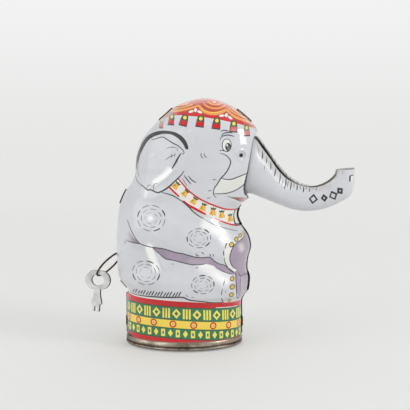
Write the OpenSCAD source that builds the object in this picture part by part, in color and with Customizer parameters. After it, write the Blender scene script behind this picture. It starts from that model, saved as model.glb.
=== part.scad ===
// Tin elephant coin bank: two pressed halves on an oval drum, a trunk that tips up as the coin chute,
// a trap with a turn lock in the base, and a key on a wire ring at the back.
// Millimetres. The elephant faces +X, its right side is -Y, and Z = 0 is the face that it stands on.
// The origin is the middle of the drum's underside.

/* [Body] */
// Height of the whole bank, from the table to the crown
bank_h = 127; // [124:0.5:130]
// Length of the oval drum, front to back
drum_len = 60; // [58:0.5:62]
// Depth of the oval drum, side to side
drum_depth = 46; // [42:0.5:50]
// Greatest depth of the elephant's body, side to side
body_depth = 50; // [46:0.5:54]
// Depth of the head between the ears
head_depth = 42; // [38:0.5:44]
// Thickness of the tin plate
sheet = 0.4; // [0.3:0.05:0.5]
// Height of the pressed relief of ears, arms and legs
relief_h = 1.4; // [0.6:0.1:1.8]

/* [Face opening] */
// Width of the opening that the trunk comes out of
opening_w = 26; // [25:0.5:28]

/* [Trunk] */
// Width of the trunk where it leaves the face
trunk_root_w = 24; // [20:0.5:24]
// Width of the trunk at its tip
trunk_tip_w = 9.2; // [8:0.2:11]
// Width of the coin groove along the top of the trunk
groove_w = 3.4; // [3:0.2:4.4]
// How far the groove's left lip stands above its right one, near the root
lip_step = 1.6; // [1:0.1:1.8]
// Diameter of the axle that the trunk tips on
pin_d = 1.8; // [1.4:0.1:2]
// Running clearance on radius between the axle and the trunk's two eyes
pin_clear = 0.06; // [0.03:0.01:0.09]

/* [Base] */
// Height of the rolled rim
rim_h = 4.2; // [3.8:0.1:5]
// How far the rim stands proud of the drum
rim_proud = 0.6; // [0.5:0.1:1]
// Height of the sunk base panel above the table
panel_z = 2.9; // [2.8:0.1:3.2]
// Thickness of the base panel and of its trap
panel_t = 0.5; // [0.4:0.05:0.6]
// Length of the doorway in the panel
doorway_len = 22; // [20:0.5:23]
// Width of the doorway in the panel
doorway_w = 21; // [20:0.5:24]
// Diameter of the trap's hinge pin
hinge_pin_d = 1; // [0.8:0.1:1.1]

/* [Lock] */
// Diameter of the turning plug's face
plug_d = 9; // [8:0.25:10]
// Diameter of the plug's neck through the trap
plug_neck_d = 6; // [5.5:0.25:7]
// Reach of the bolt from the plug's axis
bolt_reach = 8.6; // [8:0.1:9]

/* [Ring and key] */
// Outer diameter of the wire ring
ring_d = 17.8; // [16.4:0.2:18.4]
// Diameter of the ring's wire
wire_d = 1; // [0.8:0.1:1.2]
// Height of the two slots that the ring goes through
ring_slot_h = 3; // [2.8:0.1:3.2]
// Width of the key's bow
bow_w = 13.6; // [12:0.2:14]
// Height of the key's bow
bow_h = 10.2; // [9:0.2:11]
// Diameter of the hole in the bow
bow_hole_d = 6; // [5.4:0.1:6.4]
// Length of the whole key
key_len = 22; // [20:0.2:23]
// Thickness of the key
key_t = 0.8; // [0.6:0.1:1]

/* [Hidden] */

// Colours of the printed tin, the bare tin, and the wire
litho = [0.80, 0.81, 0.83];
tin = [0.47, 0.43, 0.36];
zinc = [0.72, 0.72, 0.70];
wire = [0.20, 0.16, 0.13];

// Smooth steps and curves

// 0 to 1 with level ends
function ease(t) = let (c = max(0, min(1, t))) c * c * (3 - 2 * c);
// The row of a table at the fractional place s, on a curve through all its rows
function at(table, s) =
    let (last = len(table) - 1, i = max(0, min(last - 1, floor(s))), t = s - i,
        p0 = table[max(0, i - 1)], p1 = table[i], p2 = table[i + 1], p3 = table[min(last, i + 2)])
    p1 + t / 2 * ((p2 - p0) + t * ((2 * p0 - 5 * p1 + 4 * p2 - p3) + t * (3 * p1 - p0 - 3 * p2 + p3)));
// Distance of the point p from the line between a and b
function from_line(p, a, b) =
    let (d = b - a, t = max(0, min(1, (p - a) * d / (d * d)))) norm(p - a - t * d);

// The two halves

// Level sections from the drum up to the crown: height, back, front, half depth as a share of body_depth / 2,
// and how square the section is. Between the chin and the brow the front is where the muzzle would close.
neck = head_depth / body_depth;
drum_x = drum_len / 2;
drum_share = drum_depth / body_depth;
PROFILE = [
    [1, -drum_x, drum_x, drum_share, 2],
    [8, -drum_x, drum_x, drum_share, 2],
    [15, -drum_x, drum_x, drum_share, 2],
    [22, -drum_x, drum_x, drum_share, 2],
    [25.5, -29.9, 31.6, 0.95, 2.1],
    [27.6, -28.9, 32.9, 0.97, 2.2],
    [34, -33.8, 33.6, 1, 2.3],
    [39, -34.5, 32.6, 1, 2.3],
    [44.5, -35.0, 33.0, 1, 2.3],
    [50.5, -35.3, 34.4, 1, 2.3],
    [56.5, -35.1, 33.0, 0.99, 2.3],
    [62.5, -34.6, 29.0, 0.965, 2.3],
    [67.5, -34.0, 27.5, 0.93, 2.3],
    [72, -33.2, 29.4, 1.05 * neck, 2.3],
    [75.5, -32.6, 33.6, 1.02 * neck, 2.25],
    [79.3, -31.3, 35.8, 1.0 * neck, 2.2],
    [83, -28.6, 37.2, 0.99 * neck, 2.2],
    [87.5, -25.9, 38.2, 1.0 * neck, 2.2],
    [92, -24.9, 38.9, 1.01 * neck, 2.2],
    [97, -24.5, 39.7, 1.0 * neck, 2.2],
    [102, -23.4, 39.9, 0.97 * neck, 2.2],
    [106.5, -21.8, 38.9, 0.93 * neck, 2.2],
    [111.3, -17.3, 36.9, 0.88 * neck, 2.2],
    [115.3, -13.6, 35.8, 0.81 * neck, 2.15],
    [119, -10.4, 32.3, 0.70 * neck, 2.1],
    [122.2, -7.0, 27.8, 0.56 * neck, 2.05],
    [124.6, -1.6, 22.9, 0.40 * neck, 2],
    [126.3, 4.0, 17.6, 0.21 * neck, 2],
    [127, 8.6, 13.2, 0, 2],
];
// The table above is drawn for a bank that is drawn_h high; above the drum the heights stretch with bank_h
drawn_h = 127;
drum_h = 22;
stretch = (bank_h - drum_h) / (drawn_h - drum_h);
function rise(z) = z <= drum_h ? z : drum_h + (z - drum_h) * stretch;
SECTIONS = [for (row = PROFILE) [rise(row[0]), row[1], row[2], row[3], row[4]]];
CHIN = 14;
BROW = 22;
CROWN = len(SECTIONS) - 1;
SHELL_ROWS = [0, 1, 2, 3, for (s = [3.5:0.5:CROWN]) s];
SHELL_COLUMNS = 22;

// Pressed relief on one side as [from, to, reach, slope, share of relief_h], the points as [x, z]
RELIEF = [
    [[-13, rise(101)], [-15, rise(86)], 13, 5, 1],
    [[-8, rise(60)], [26, rise(50)], 10, 7, 1],
    [[-20, rise(32)], [27, rise(30)], 11, 8, 1],
    [[-18, rise(64)], [-16, rise(66)], 11, 9, 0.6],
    [[6, rise(84)], [18, rise(84)], 11, 9, 0.7],
];
function lift(x, z) = relief_h * max([for (r = RELIEF)
    r[4] * ease((r[2] - from_line([x, z], r[0], r[1])) / r[3])]);

// Half width of the face opening at section s: an upright rounded frame from chin to brow
function opening_half(s) =
    s <= CHIN || s >= BROW ? 0
    : let (u = (2 * s - CHIN - BROW) / (BROW - CHIN)) opening_w / 2 * (1 - abs(u) ^ 3) ^ (1 / 3);

// A point of the half shell's outer face: section s, and t from 0 at the back seam to 1 at the front edge
function skin(s, t) =
    let (row = at(SECTIONS, s), p = row[4], half = max(0, row[3]) * body_depth / 2,
        mid = (row[1] + row[2]) / 2, reach = (row[2] - row[1]) / 2,
        gap = min(opening_half(s), half),
        turn = gap > 0 ? 180 - asin((gap / half) ^ (p / 2)) : 180,
        c = cos(t * turn), e = sin(t * turn),
        x = mid - reach * sign(c) * abs(c) ^ (2 / p),
        y = half * abs(e) ^ (2 / p))
    [x, -y - (s > 3 ? lift(x, row[0]) * ease(y / 8) : 0), row[0]];

// Unit normals of a grid of points, level at the grid's seam columns so that both halves meet on Y = 0
function grid_normal(g, i, j, flat_y) =
    let (rows = len(g) - 1, cols = len(g[0]) - 1,
        a = g[min(rows, i + 1)][j] - g[max(0, i - 1)][j],
        b = g[i][min(cols, j + 1)] - g[i][max(0, j - 1)],
        n = cross(b, a), m = flat_y ? [n[0], 0, n[2]] : n)
    norm(m) > 0 ? m / norm(m) : [0, 0, 1];
function inner_grid(g, seams) = [for (i = [0:len(g) - 1]) [for (j = [0:len(g[0]) - 1])
    let (on_seam = seams && abs(g[i][j][1]) < 0.001) g[i][j] - sheet * grid_normal(g, i, j, on_seam)]];

// A closed sheet between two grids of points
module sheet_between(outer, inner) {
    rows = len(outer);
    cols = len(outer[0]);
    count = rows * cols;
    function id(k, i, j) = k * count + i * cols + j;
    function quad(a, b, c, d) = [[a, b, c], [a, c, d]];
    points = [for (g = [outer, inner]) for (row = g) for (p = row) p];
    faces = [
        for (i = [0:rows - 2]) for (j = [0:cols - 2]) for (f = quad(
            id(0, i, j), id(0, i + 1, j), id(0, i + 1, j + 1), id(0, i, j + 1))) f,
        for (i = [0:rows - 2]) for (j = [0:cols - 2]) for (f = quad(
            id(1, i, j), id(1, i, j + 1), id(1, i + 1, j + 1), id(1, i + 1, j))) f,
        for (i = [0:rows - 2]) for (f = quad(
            id(0, i, 0), id(1, i, 0), id(1, i + 1, 0), id(0, i + 1, 0))) f,
        for (i = [0:rows - 2]) for (f = quad(
            id(0, i, cols - 1), id(0, i + 1, cols - 1), id(1, i + 1, cols - 1), id(1, i, cols - 1))) f,
        for (j = [0:cols - 2]) for (f = quad(
            id(0, 0, j), id(0, 0, j + 1), id(1, 0, j + 1), id(1, 0, j))) f,
        for (j = [0:cols - 2]) for (f = quad(
            id(0, rows - 1, j), id(1, rows - 1, j), id(1, rows - 1, j + 1), id(0, rows - 1, j + 1))) f,
    ];
    polyhedron(points, faces, convexity = 8);
}

// Trunk axle and the trunk's side view

PIVOT = [29.5, rise(98.1)];
pin_r = pin_d / 2;
pin_half = 16.6;
root_r = 20.9;

// Where the trunk's sides run, in the side view: underside x, z, top x, z, and width.
// The first rows turn about the axle, so that the root keeps the face closed while the trunk tips;
// their tops are given from the axle.
function root_row(a, top, w) =
    [PIVOT[0] + root_r * cos(a), PIVOT[1] + root_r * sin(a), PIVOT[0] + top[0], PIVOT[1] + top[1], w];
function row_at(low, top, w) = [low[0], rise(low[1]), top[0], rise(top[1]), w];
width_step = (trunk_root_w - trunk_tip_w) / 10;
function width(k) = trunk_root_w - k * width_step;
TRUNK = [
    root_row(-125, [-7, 6.4], width(0.3)),
    root_row(-108, [-2, 9.4], width(0.1)),
    root_row(-92, [2.5, 10.1], width(0)),
    root_row(-76.6, [7.2, 8.8], width(0.2)),
    row_at([39.9, 75.8], [40.3, 102.3], width(1.4)),
    row_at([45.4, 73.6], [44.5, 96.6], width(3)),
    row_at([50.2, 71.7], [48.2, 91.2], width(4.6)),
    row_at([54.6, 70.1], [52.7, 86.5], width(6)),
    row_at([59.6, 69.0], [57.3, 83.7], width(7)),
    row_at([64.9, 68.7], [62.3, 82.0], width(7.8)),
    row_at([70.5, 69.4], [66.9, 81.7], width(8.4)),
    row_at([75.8, 71.1], [70.9, 82.7], width(8.9)),
    row_at([81.0, 73.5], [74.6, 84.7], width(9.3)),
    row_at([85.6, 76.4], [77.4, 87.3], width(9.6)),
    row_at([87.7, 80.7], [78.2, 88.9], width(9.8)),
    row_at([87.8, 86.0], [78.3, 89.6], width(10)),
    row_at([87.9, 91.1], [78.4, 90.2], width(10)),
];
TRUNK_ROWS = [for (s = [0:0.5:len(TRUNK) - 1]) s];
TRUNK_COLUMNS = 12;

// The groove lies a little to the right of the middle, and its left lip is the higher one from row 3 to row 9
groove_off = 0.9;
function step_at(s) = lip_step * ease((s - 2.4) / 1.6) * ease((9 - s) / 3);

// A point of a trunk half's outer face: row s, and t from 0 at the underside seam to 1 at the groove's lip
function trunk_skin(s, t, left) =
    let (row = at(TRUNK, s), half = row[4] / 2, lip = groove_w / 2 + (left ? -groove_off : groove_off),
        turn = 180 - asin((lip / half) ^ 1.25), h = (1 - cos(t * turn)) / 2, y = half * sin(t * turn) ^ 0.8,
        top = row[3] + (left ? step_at(s) : 0))
    [row[0] + (row[2] - row[0]) * h, -y, row[1] + (top - row[1]) * h];

// Seam tabs of the left half, bent over the edge of the right one: [row they start at, row they end at, at the front].
// The rows are odd quarters, between the shell's own rows.
TABS = [
    [1.25, 1.75, false], [5.25, 5.75, false], [13.75, 15.25, false], [23.25, 25.25, false],
    [1.25, 1.75, true], [5.75, 7.25, true], [11.75, 13.25, true], [23.25, 24.75, true],
];
tab_over = 2.2;
tab_root = 1.1;
tab_fold = 0.4;
tab_t = 0.5;
tab_clear = 0.12;
tab_curl = 0.015;

// Ring and key

wire_r = wire_d / 2;
ring_r = ring_d / 2 - wire_r;
// The ring hangs at 47 degrees, where its inner arc meets the inside of the back, and swings up from there.
// It turns on the chord that joins its two slots, which leans a little.
RING_HINGE = [-34.9, 0, rise(45.2)];
ring_drop = 47;
ring_twist = -16;
ring_half_chord = 5;
ring_reach = sqrt(ring_r ^ 2 - ring_half_chord ^ 2);
ring_slot_len = 4.6;
NEAR_SLOT = [2.9, rise(45.95)];
FAR_SLOT = [5.45, rise(43.6)];
key_clear = 0.15;
key_tilt = 4;

// Places a child drawn with the hinge chord on Y and the ring reaching toward -X
module at_ring() translate(RING_HINGE) rotate([0, -ring_drop, 0]) rotate([ring_twist, 0, 0]) children();

// Base, trap and lock

SHELL_FOOT = SECTIONS[0][0];
panel_top = panel_z + panel_t;
door_gap = 0.2;
door_z = panel_z - door_gap - panel_t;
door_lap = 1.8;
hinge_r = hinge_pin_d / 2;
knuckle_r = 1.0;
HINGE = [-doorway_len / 2 - door_lap - knuckle_r, 0, door_z + panel_t - knuckle_r];
knuckle_split = 5.8;
knuckle_end = 9.8;
knuckle_gap = 0.15;
LOCK = [doorway_len / 2 - 5.2, 0, 0];
neck_r = plug_neck_d / 2;
run_clear = 0.06;
plug_face_t = 0.7;
stud_r = 1.2;
bolt_t = 0.8;
bolt_w = 4;
bolt_z = panel_top + 0.15;
rivet_r = 2;
rivet_h = 0.7;

// An upright oval slab in the drum's proportions, its half length rx
module oval(rx, z, h) {
    ry = rx - (drum_len - drum_depth) / 2;
    translate([0, 0, z]) linear_extrude(h) polygon([for (a = [0:5:355]) [rx * cos(a), ry * sin(a)]]);
}

// One pressed half of drum, body and head, with the axle's hole and a slot for the ring at y, z
module half_shell(slot) {
    outer = [for (s = SHELL_ROWS) [for (j = [0:SHELL_COLUMNS]) skin(s, j / SHELL_COLUMNS)]];
    difference() {
        sheet_between(outer, inner_grid(outer, true));
        translate([PIVOT[0], 0, PIVOT[1]]) rotate([90, 0, 0])
            cylinder(r = pin_r + pin_clear, h = 40, $fn = 32);
        for (end = [-0.5, 0.5])
            translate([-40, -slot[0] + end * (ring_slot_len - ring_slot_h), slot[1]]) rotate([0, 90, 0])
                cylinder(d = ring_slot_h, h = 10, $fn = 32);
        translate([-40, -slot[0] - (ring_slot_len - ring_slot_h) / 2, slot[1] - ring_slot_h / 2])
            cube([10, ring_slot_len - ring_slot_h, ring_slot_h]);
    }
}

// A point of the seam on the shell's own facets, halfway between two of its rows
function seam(s, front) =
    let (a = at(SECTIONS, s - 0.25), b = at(SECTIONS, s + 0.25), end = front ? 2 : 1)
    [(a[end] + b[end]) / 2, 0, (a[0] + b[0]) / 2];

// A seam tab: a strip that follows the seam from row s0 to row s1, lapping the right half
module seam_tab(s0, s1, front) {
    edge = [for (s = [s0:0.5:s1]) seam(s, front)];
    steps = len(edge) - 1;
    out = [for (k = [0:steps])
        let (d = edge[min(steps, k + 1)] - edge[max(0, k - 1)], n = (front ? 1 : -1) * [d[2], 0, -d[0]])
        n / norm(n)];
    section = [[-tab_over, tab_clear], [-tab_over, tab_t], [0, tab_t + 0.1], [tab_root, 0.25],
        [tab_root, -sheet / 2], [tab_fold, -sheet / 2], [tab_fold, tab_clear]];
    n = len(section);
    points = [for (k = [0:steps]) for (q = section)
        edge[k] + [0, q[0], 0] + (q[1] - tab_curl * q[0] ^ 2) * out[k]];
    cap = [[0, 1, 2], [0, 2, 6], [6, 2, 3], [6, 3, 4], [6, 4, 5]];
    ends = [for (f = cap) f, for (f = cap) [for (q = [2:-1:0]) steps * n + f[q]]];
    sides = [for (k = [0:steps - 1]) for (q = [0:n - 1]) let (r = (q + 1) % n)
        for (f = [[k * n + q, (k + 1) * n + q, (k + 1) * n + r], [k * n + q, (k + 1) * n + r, k * n + r]]) f];
    faces = [for (f = concat(ends, sides)) front ? f : [for (q = [len(f) - 1:-1:0]) f[q]]];
    polyhedron(points, faces, convexity = 4);
}

module right_shell() color(litho) half_shell(NEAR_SLOT);

module left_shell() color(litho) {
    mirror([0, 1, 0]) half_shell(FAR_SLOT);
    for (t = TABS) seam_tab(t[0], t[1], t[2]);
}

// The base: a rolled rim with a groove that holds the halves, and a sunk panel with the doorway
module base_plate() color(tin) {
    rim_x = drum_x + rim_proud;
    difference() {
        hull() {
            oval(rim_x - 0.4, 0, 0.1);
            oval(rim_x, 0.5, rim_h - 0.9);
            oval(rim_x - 0.3, rim_h - 0.1, 0.1);
        }
        oval(drum_x - sheet - 0.9, -1, rim_h + 2);
        difference() {
            oval(drum_x + 0.08, SHELL_FOOT - 0.1, rim_h);
            oval(drum_x - sheet - 0.12, SHELL_FOOT - 0.2, rim_h + 1);
        }
    }
    difference() {
        oval(drum_x - sheet - 0.7, panel_z, panel_t);
        translate([-doorway_len / 2, -doorway_w / 2, panel_z - 1]) cube([doorway_len, doorway_w, panel_t + 2]);
    }
    leaf = knuckle_end - knuckle_split;
    for (y = [-knuckle_end, knuckle_split])
        knuckle(y, leaf, hinge_r + 0.02) translate([-knuckle_r, 0, 0]) cube([0.6, leaf, 1.3]);
}

// A hinge knuckle along Y from y0, with its leaf as the child
module knuckle(y0, length, bore) {
    translate([HINGE[0], y0, HINGE[2]]) difference() {
        union() {
            translate([0, length, 0]) rotate([90, 0, 0]) cylinder(r = knuckle_r, h = length, $fn = 32);
            children();
        }
        translate([0, length + 1, 0]) rotate([90, 0, 0]) cylinder(r = bore, h = length + 2, $fn = 32);
    }
}

// The trap: a flat leaf under the doorway, hinged at the back, with the plug's hole
module coin_door() color(tin) {
    half_w = doorway_w / 2 + door_lap;
    leaf_x = HINGE[0] + knuckle_r + 0.2;
    end_x = doorway_len / 2 + door_lap;
    inner = knuckle_split - knuckle_gap;
    difference() {
        union() {
            translate([leaf_x, -half_w, door_z]) cube([end_x - leaf_x, 2 * half_w, panel_t]);
            knuckle(-inner, 2 * inner, hinge_r + run_clear)
                translate([0, 0, knuckle_r - panel_t]) cube([knuckle_r + 0.4, 2 * inner, panel_t]);
        }
        translate([LOCK[0], 0, door_z - 1]) cylinder(r = neck_r + run_clear, h = panel_t + 2, $fn = 48);
    }
}

module door_hinge_pin() color(zinc) translate([HINGE[0], knuckle_end + 0.2, HINGE[2]]) rotate([90, 0, 0])
    cylinder(r = hinge_r, h = 2 * (knuckle_end + 0.2), $fn = 32);

// The plug: a face with two slots for the key's prongs, a neck and a stud for the bolt
module lock_plug() color(zinc) translate([LOCK[0], 0, 0]) difference() {
    union() {
        translate([0, 0, door_z - run_clear - plug_face_t]) cylinder(d = plug_d, h = plug_face_t, $fn = 48);
        translate([0, 0, door_z - run_clear - 0.1]) cylinder(r = neck_r, h = bolt_z - door_z + run_clear + 0.1,
            $fn = 48);
        cylinder_from(bolt_z - 0.1, stud_r, bolt_t + 0.1 + 0.3);
    }
    for (side = [-1, 1]) translate([side * 1.35 - 0.55, -0.6, door_z - 2]) cube([1.1, 1.2, 2.2]);
}

module cylinder_from(z, r, h) translate([0, 0, z]) cylinder(r = r, h = h, $fn = 32);

// The bolt: a flat arm on the plug's stud, drawn unlocked, along Y
module lock_bolt() color(zinc) translate([LOCK[0], 0, bolt_z]) difference() {
    union() {
        cylinder_from(0, bolt_w / 2 + 0.6, bolt_t);
        translate([-bolt_w / 2, -bolt_reach + bolt_w / 2, 0]) cube([bolt_w, bolt_reach - bolt_w / 2, bolt_t]);
        translate([0, -bolt_reach + bolt_w / 2, 0]) cylinder_from(0, bolt_w / 2, bolt_t);
    }
    cylinder_from(-1, stud_r + 0.03, bolt_t + 2);
}

// The rivet ring that holds the bolt on the stud
module lock_rivet() color(tin) translate([LOCK[0], 0, bolt_z + bolt_t + 0.02]) difference() {
    cylinder_from(0, rivet_r, rivet_h);
    cylinder_from(-1, stud_r + 0.03, rivet_h + 2);
}

// One pressed half of the trunk, with the boss and the eye that turn on the axle
module trunk_half(left) {
    outer = [for (s = TRUNK_ROWS) [for (j = [0:TRUNK_COLUMNS]) trunk_skin(s, j / TRUNK_COLUMNS, left)]];
    boss_top = trunk_root_w / 2 + 1.9;
    boss_foot = trunk_root_w / 2 - 0.8;
    difference() {
        union() {
            sheet_between(outer, inner_grid(outer, true));
            translate([PIVOT[0], -boss_foot, PIVOT[1]]) rotate([90, 0, 0])
                cylinder(r1 = 4.6, r2 = 2.2, h = boss_top - boss_foot, $fn = 48);
        }
        translate([PIVOT[0], -boss_foot + 0.5, PIVOT[1]]) rotate([90, 0, 0])
            cylinder(r1 = 4.6, r2 = 1.9, h = boss_top - boss_foot - 0.3, $fn = 48);
        translate([PIVOT[0], 0, PIVOT[1]]) rotate([90, 0, 0]) cylinder(r = pin_r + pin_clear, h = 40, $fn = 32);
    }
}

module trunk_right() color(litho) trunk_half(false);

module trunk_left() color(litho) mirror([0, 1, 0]) trunk_half(true);

// The axle through both cheeks and both trunk halves, its ends rounded over
module trunk_pin() color(wire) translate([PIVOT[0], 0, PIVOT[1]]) rotate([90, 0, 0])
    rotate_extrude($fn = 32) polygon([[0, -pin_half], [pin_r * 0.6, -pin_half], [pin_r, -pin_half + 0.4],
        [pin_r, pin_half - 0.4], [pin_r * 0.6, pin_half], [0, pin_half]]);

module key_ring() color(wire) at_ring() translate([-ring_reach, 0, 0])
    rotate_extrude($fn = 64) translate([ring_r, 0]) circle(r = wire_r, $fn = 16);

// The key hangs by its bow hole from the ring's lowest point
module key() color(zinc) {
    far = ring_reach + ring_r;
    hang = bow_hole_d / 2 - wire_r - key_clear;
    end = RING_HINGE + far * [-cos(ring_drop), 0, -sin(ring_drop)];
    lobe = bow_h / 2;
    foot = lobe - key_len;
    translate(end) rotate([0, key_tilt, 0]) translate([0, key_t / 2, -hang]) rotate([90, 0, 0])
        linear_extrude(key_t) difference() {
            union() {
                for (side = [-1, 1]) translate([side * (bow_w / 2 - lobe), 0]) circle(r = lobe, $fn = 64);
                square([bow_w - bow_h, bow_h], center = true);
                polygon([[-1.9, 0], [-1.95, -7], [-2.1, -8.5], [-2.9, foot + 5.2], [-2.9, foot + 3.9],
                    [-2, foot + 3.7], [-2, foot], [2, foot], [2, foot + 3.7], [2.9, foot + 3.9],
                    [2.9, foot + 5.2], [2.1, -8.5], [1.95, -7], [1.9, 0]]);
            }
            circle(d = bow_hole_d, $fn = 64);
            translate([-0.6, foot - 1]) square([1.2, 3.6]);
        }
}

right_shell();
left_shell();
base_plate();
coin_door();
door_hinge_pin();
lock_plug();
lock_bolt();
lock_rivet();
trunk_right();
trunk_left();
trunk_pin();
key_ring();
key();
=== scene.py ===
"""Dresses the tin elephant coin bank: printed tin halves and trunk, rolled rim, ring, key, lock and stage.
Lengths in the tables are millimetres in the model's own frame: +X forward, right side at -Y, +Z up."""

import math

import bmesh
import bpy
import numpy as np
from mathutils import Matrix, Vector
from mathutils.geometry import delaunay_2d_cdt


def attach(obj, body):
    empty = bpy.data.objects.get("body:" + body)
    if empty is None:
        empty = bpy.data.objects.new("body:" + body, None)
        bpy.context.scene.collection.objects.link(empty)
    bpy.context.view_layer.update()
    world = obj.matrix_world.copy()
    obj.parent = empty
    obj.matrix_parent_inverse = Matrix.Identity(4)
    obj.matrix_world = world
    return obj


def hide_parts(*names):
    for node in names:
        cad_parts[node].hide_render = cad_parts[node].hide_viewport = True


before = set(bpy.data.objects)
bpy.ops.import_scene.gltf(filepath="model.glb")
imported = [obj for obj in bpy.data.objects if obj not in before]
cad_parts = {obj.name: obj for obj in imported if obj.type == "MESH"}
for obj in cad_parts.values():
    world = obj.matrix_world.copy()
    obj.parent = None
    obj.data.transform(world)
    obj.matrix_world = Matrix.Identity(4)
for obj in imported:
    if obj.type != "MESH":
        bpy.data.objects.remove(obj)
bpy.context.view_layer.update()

bl_info = {
    "name": "Tin elephant coin bank",
    "version": (1, 0, 0),
    "blender": (4, 5, 0),
    "location": "View3D > Sidebar > Elephant bank",
    "description": "Builds the printed tin skin, the trunk, the rim, the ring and the key of the bank",
    "category": "Object",
}

MM = 0.001


def tone(red, green, blue):
    """A colour picked as it shows, 0 to 255, in the linear values that shaders use."""
    shown = [c / 255 for c in (red, green, blue)]
    return tuple(c / 12.92 if c <= 0.04045 else ((c + 0.055) / 1.055) ** 2.4 for c in shown)


# The settings that a user would change


def colour(name, description, shown):
    return bpy.props.FloatVectorProperty(name=name, description=description, subtype="COLOR", size=3,
                                         min=0, max=1, default=tone(*shown))


def length(name, description, mm, low=0.01, high=200.0):
    return bpy.props.FloatProperty(name=name, description=description, unit="LENGTH", min=low * MM,
                                   max=high * MM, default=mm * MM)


def power(name, description, watts):
    return bpy.props.FloatProperty(name=name, description=description, min=0, max=100, default=watts,
                                   unit="POWER")


class BankInks(bpy.types.PropertyGroup):
    """Colours of the print, some of which also paint highlights and shade"""

    skin: colour("Skin", "Grey of the elephant's skin", (213, 215, 220))
    # Line also paints shadow: up the trunk's slot, at its top and round the throat's tab.
    line: colour("Line", "Dark ink of the drawing", (62, 63, 64))
    # Black also paints shadow: along the trunk's groove, in a wedge at the back of the drum's foot and at the
    # foot of the trunk's slot.
    ink: colour("Black", "Black border of the trunk's groove", (22, 20, 20))
    # Grey also paints shade: by the trunk's slot, under the necklace and at the front of the arm's sole.
    grey: colour("Grey", "Thin grey ink of hairs and folds", (118, 120, 123))
    soft: colour("Soft grey", "Lighter ink of the rosettes", (134, 138, 144))
    pale: colour("Pale grey", "Palest ink of the rosettes", (160, 164, 170))
    red: colour("Red", "Red of the drum's stripes and the tassels", (208, 18, 28))
    cap: colour("Cap", "Orange red of the cap", (186, 68, 42))
    green: colour("Green", "Green of the drum's bands", (44, 124, 92))
    leaf: colour("Leaf", "Dark green of leaves and fine lines", (40, 84, 48))
    yellow: colour("Yellow", "Yellow of the drum's middle band", (250, 218, 86))
    lemon: colour("Lemon", "Lemon yellow of the drum's motifs", (246, 234, 104))
    amber: colour("Amber", "Orange yellow of the bells", (240, 180, 62))
    orange: colour("Orange", "Orange of the cap's scallops", (238, 160, 80))
    # White also paints highlights: on the soles, on the fold between the legs and on the throat's tab.
    white: colour("White", "White of tusks, petals and the eye", (238, 237, 232))
    # Mauve also paints shade along the upper edge of the fold between the legs.
    mauve: colour("Mauve", "Mauve of the soles and of the fold between the legs", (168, 152, 172))
    brown: colour("Brown", "Brown outline of the toenails", (108, 88, 52))
    gold: colour("Gold", "Olive gold of the toenails", (216, 194, 98))
    rust: colour("Rust", "Orange red outline of the circles", (192, 62, 22))
    # Peach also paints two highlights on the cap.
    peach: colour("Peach", "Pale centre of the circles", (252, 206, 128))
    # Tusk also paints sheen on the cap and its tassels, a glint on the head and a highlight on the drum's red
    # band.
    tusk: colour("Tusk", "Pale cream of the tusks", (229, 231, 225))
    tan: colour("Tan", "Warm shade along the trunk's groove", (176, 164, 150))
    # Mouth also paints shade in a band at the drum's foot, above the rim.
    mouth: colour("Mouth", "Red brown of the mouth", (164, 96, 84))
    # Shine paints highlights on the skin.
    shine: colour("Shine", "White of the airbrushed lights on the skin", (255, 255, 255))


class BankSizes(bpy.types.PropertyGroup):
    """Sizes of the pressed tin and its seams"""

    sheet: length("Tin plate", "Thickness of the printed tin plate", 0.4, 0.2, 0.6)
    step: length("Mesh step", "Distance between points of the pressed tin", 1.0, 0.5, 3)
    tab_width: length("Tab lap", "How far a seam tab laps the right half", 2.2, 1, 3)
    wire: length("Wire", "Diameter of the ring's wire", 1.0, 0.8, 1.2)


class BankStage(bpy.types.PropertyGroup):
    """Floor and light"""

    paper: colour("Paper", "Colour of the paper floor", (229, 229, 228))
    haze: colour("Far paper", "Tone that the paper fades to behind the object", (231, 231, 230))
    sky: colour("High paper", "Tone of the paper's upper part", (243, 243, 243))
    key_power: power("Key light", "Power of the square lamp at the right in watts", 4.5)
    left_power: power("Left light", "Power of the wide lamp at the left in watts", 4.4)
    back_power: power("Back light", "Power of the lamp behind the bank in watts", 1.6)


# Curves, sections and the pressed shape as in the model's source, with crown, nape and the slot's top
# drawn in by a millimetre or two, as the photograph shows them

DRUM_X, DRUM_SHARE, BODY_HALF, NECK = 30.0, 0.92, 25.0, 0.84
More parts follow.
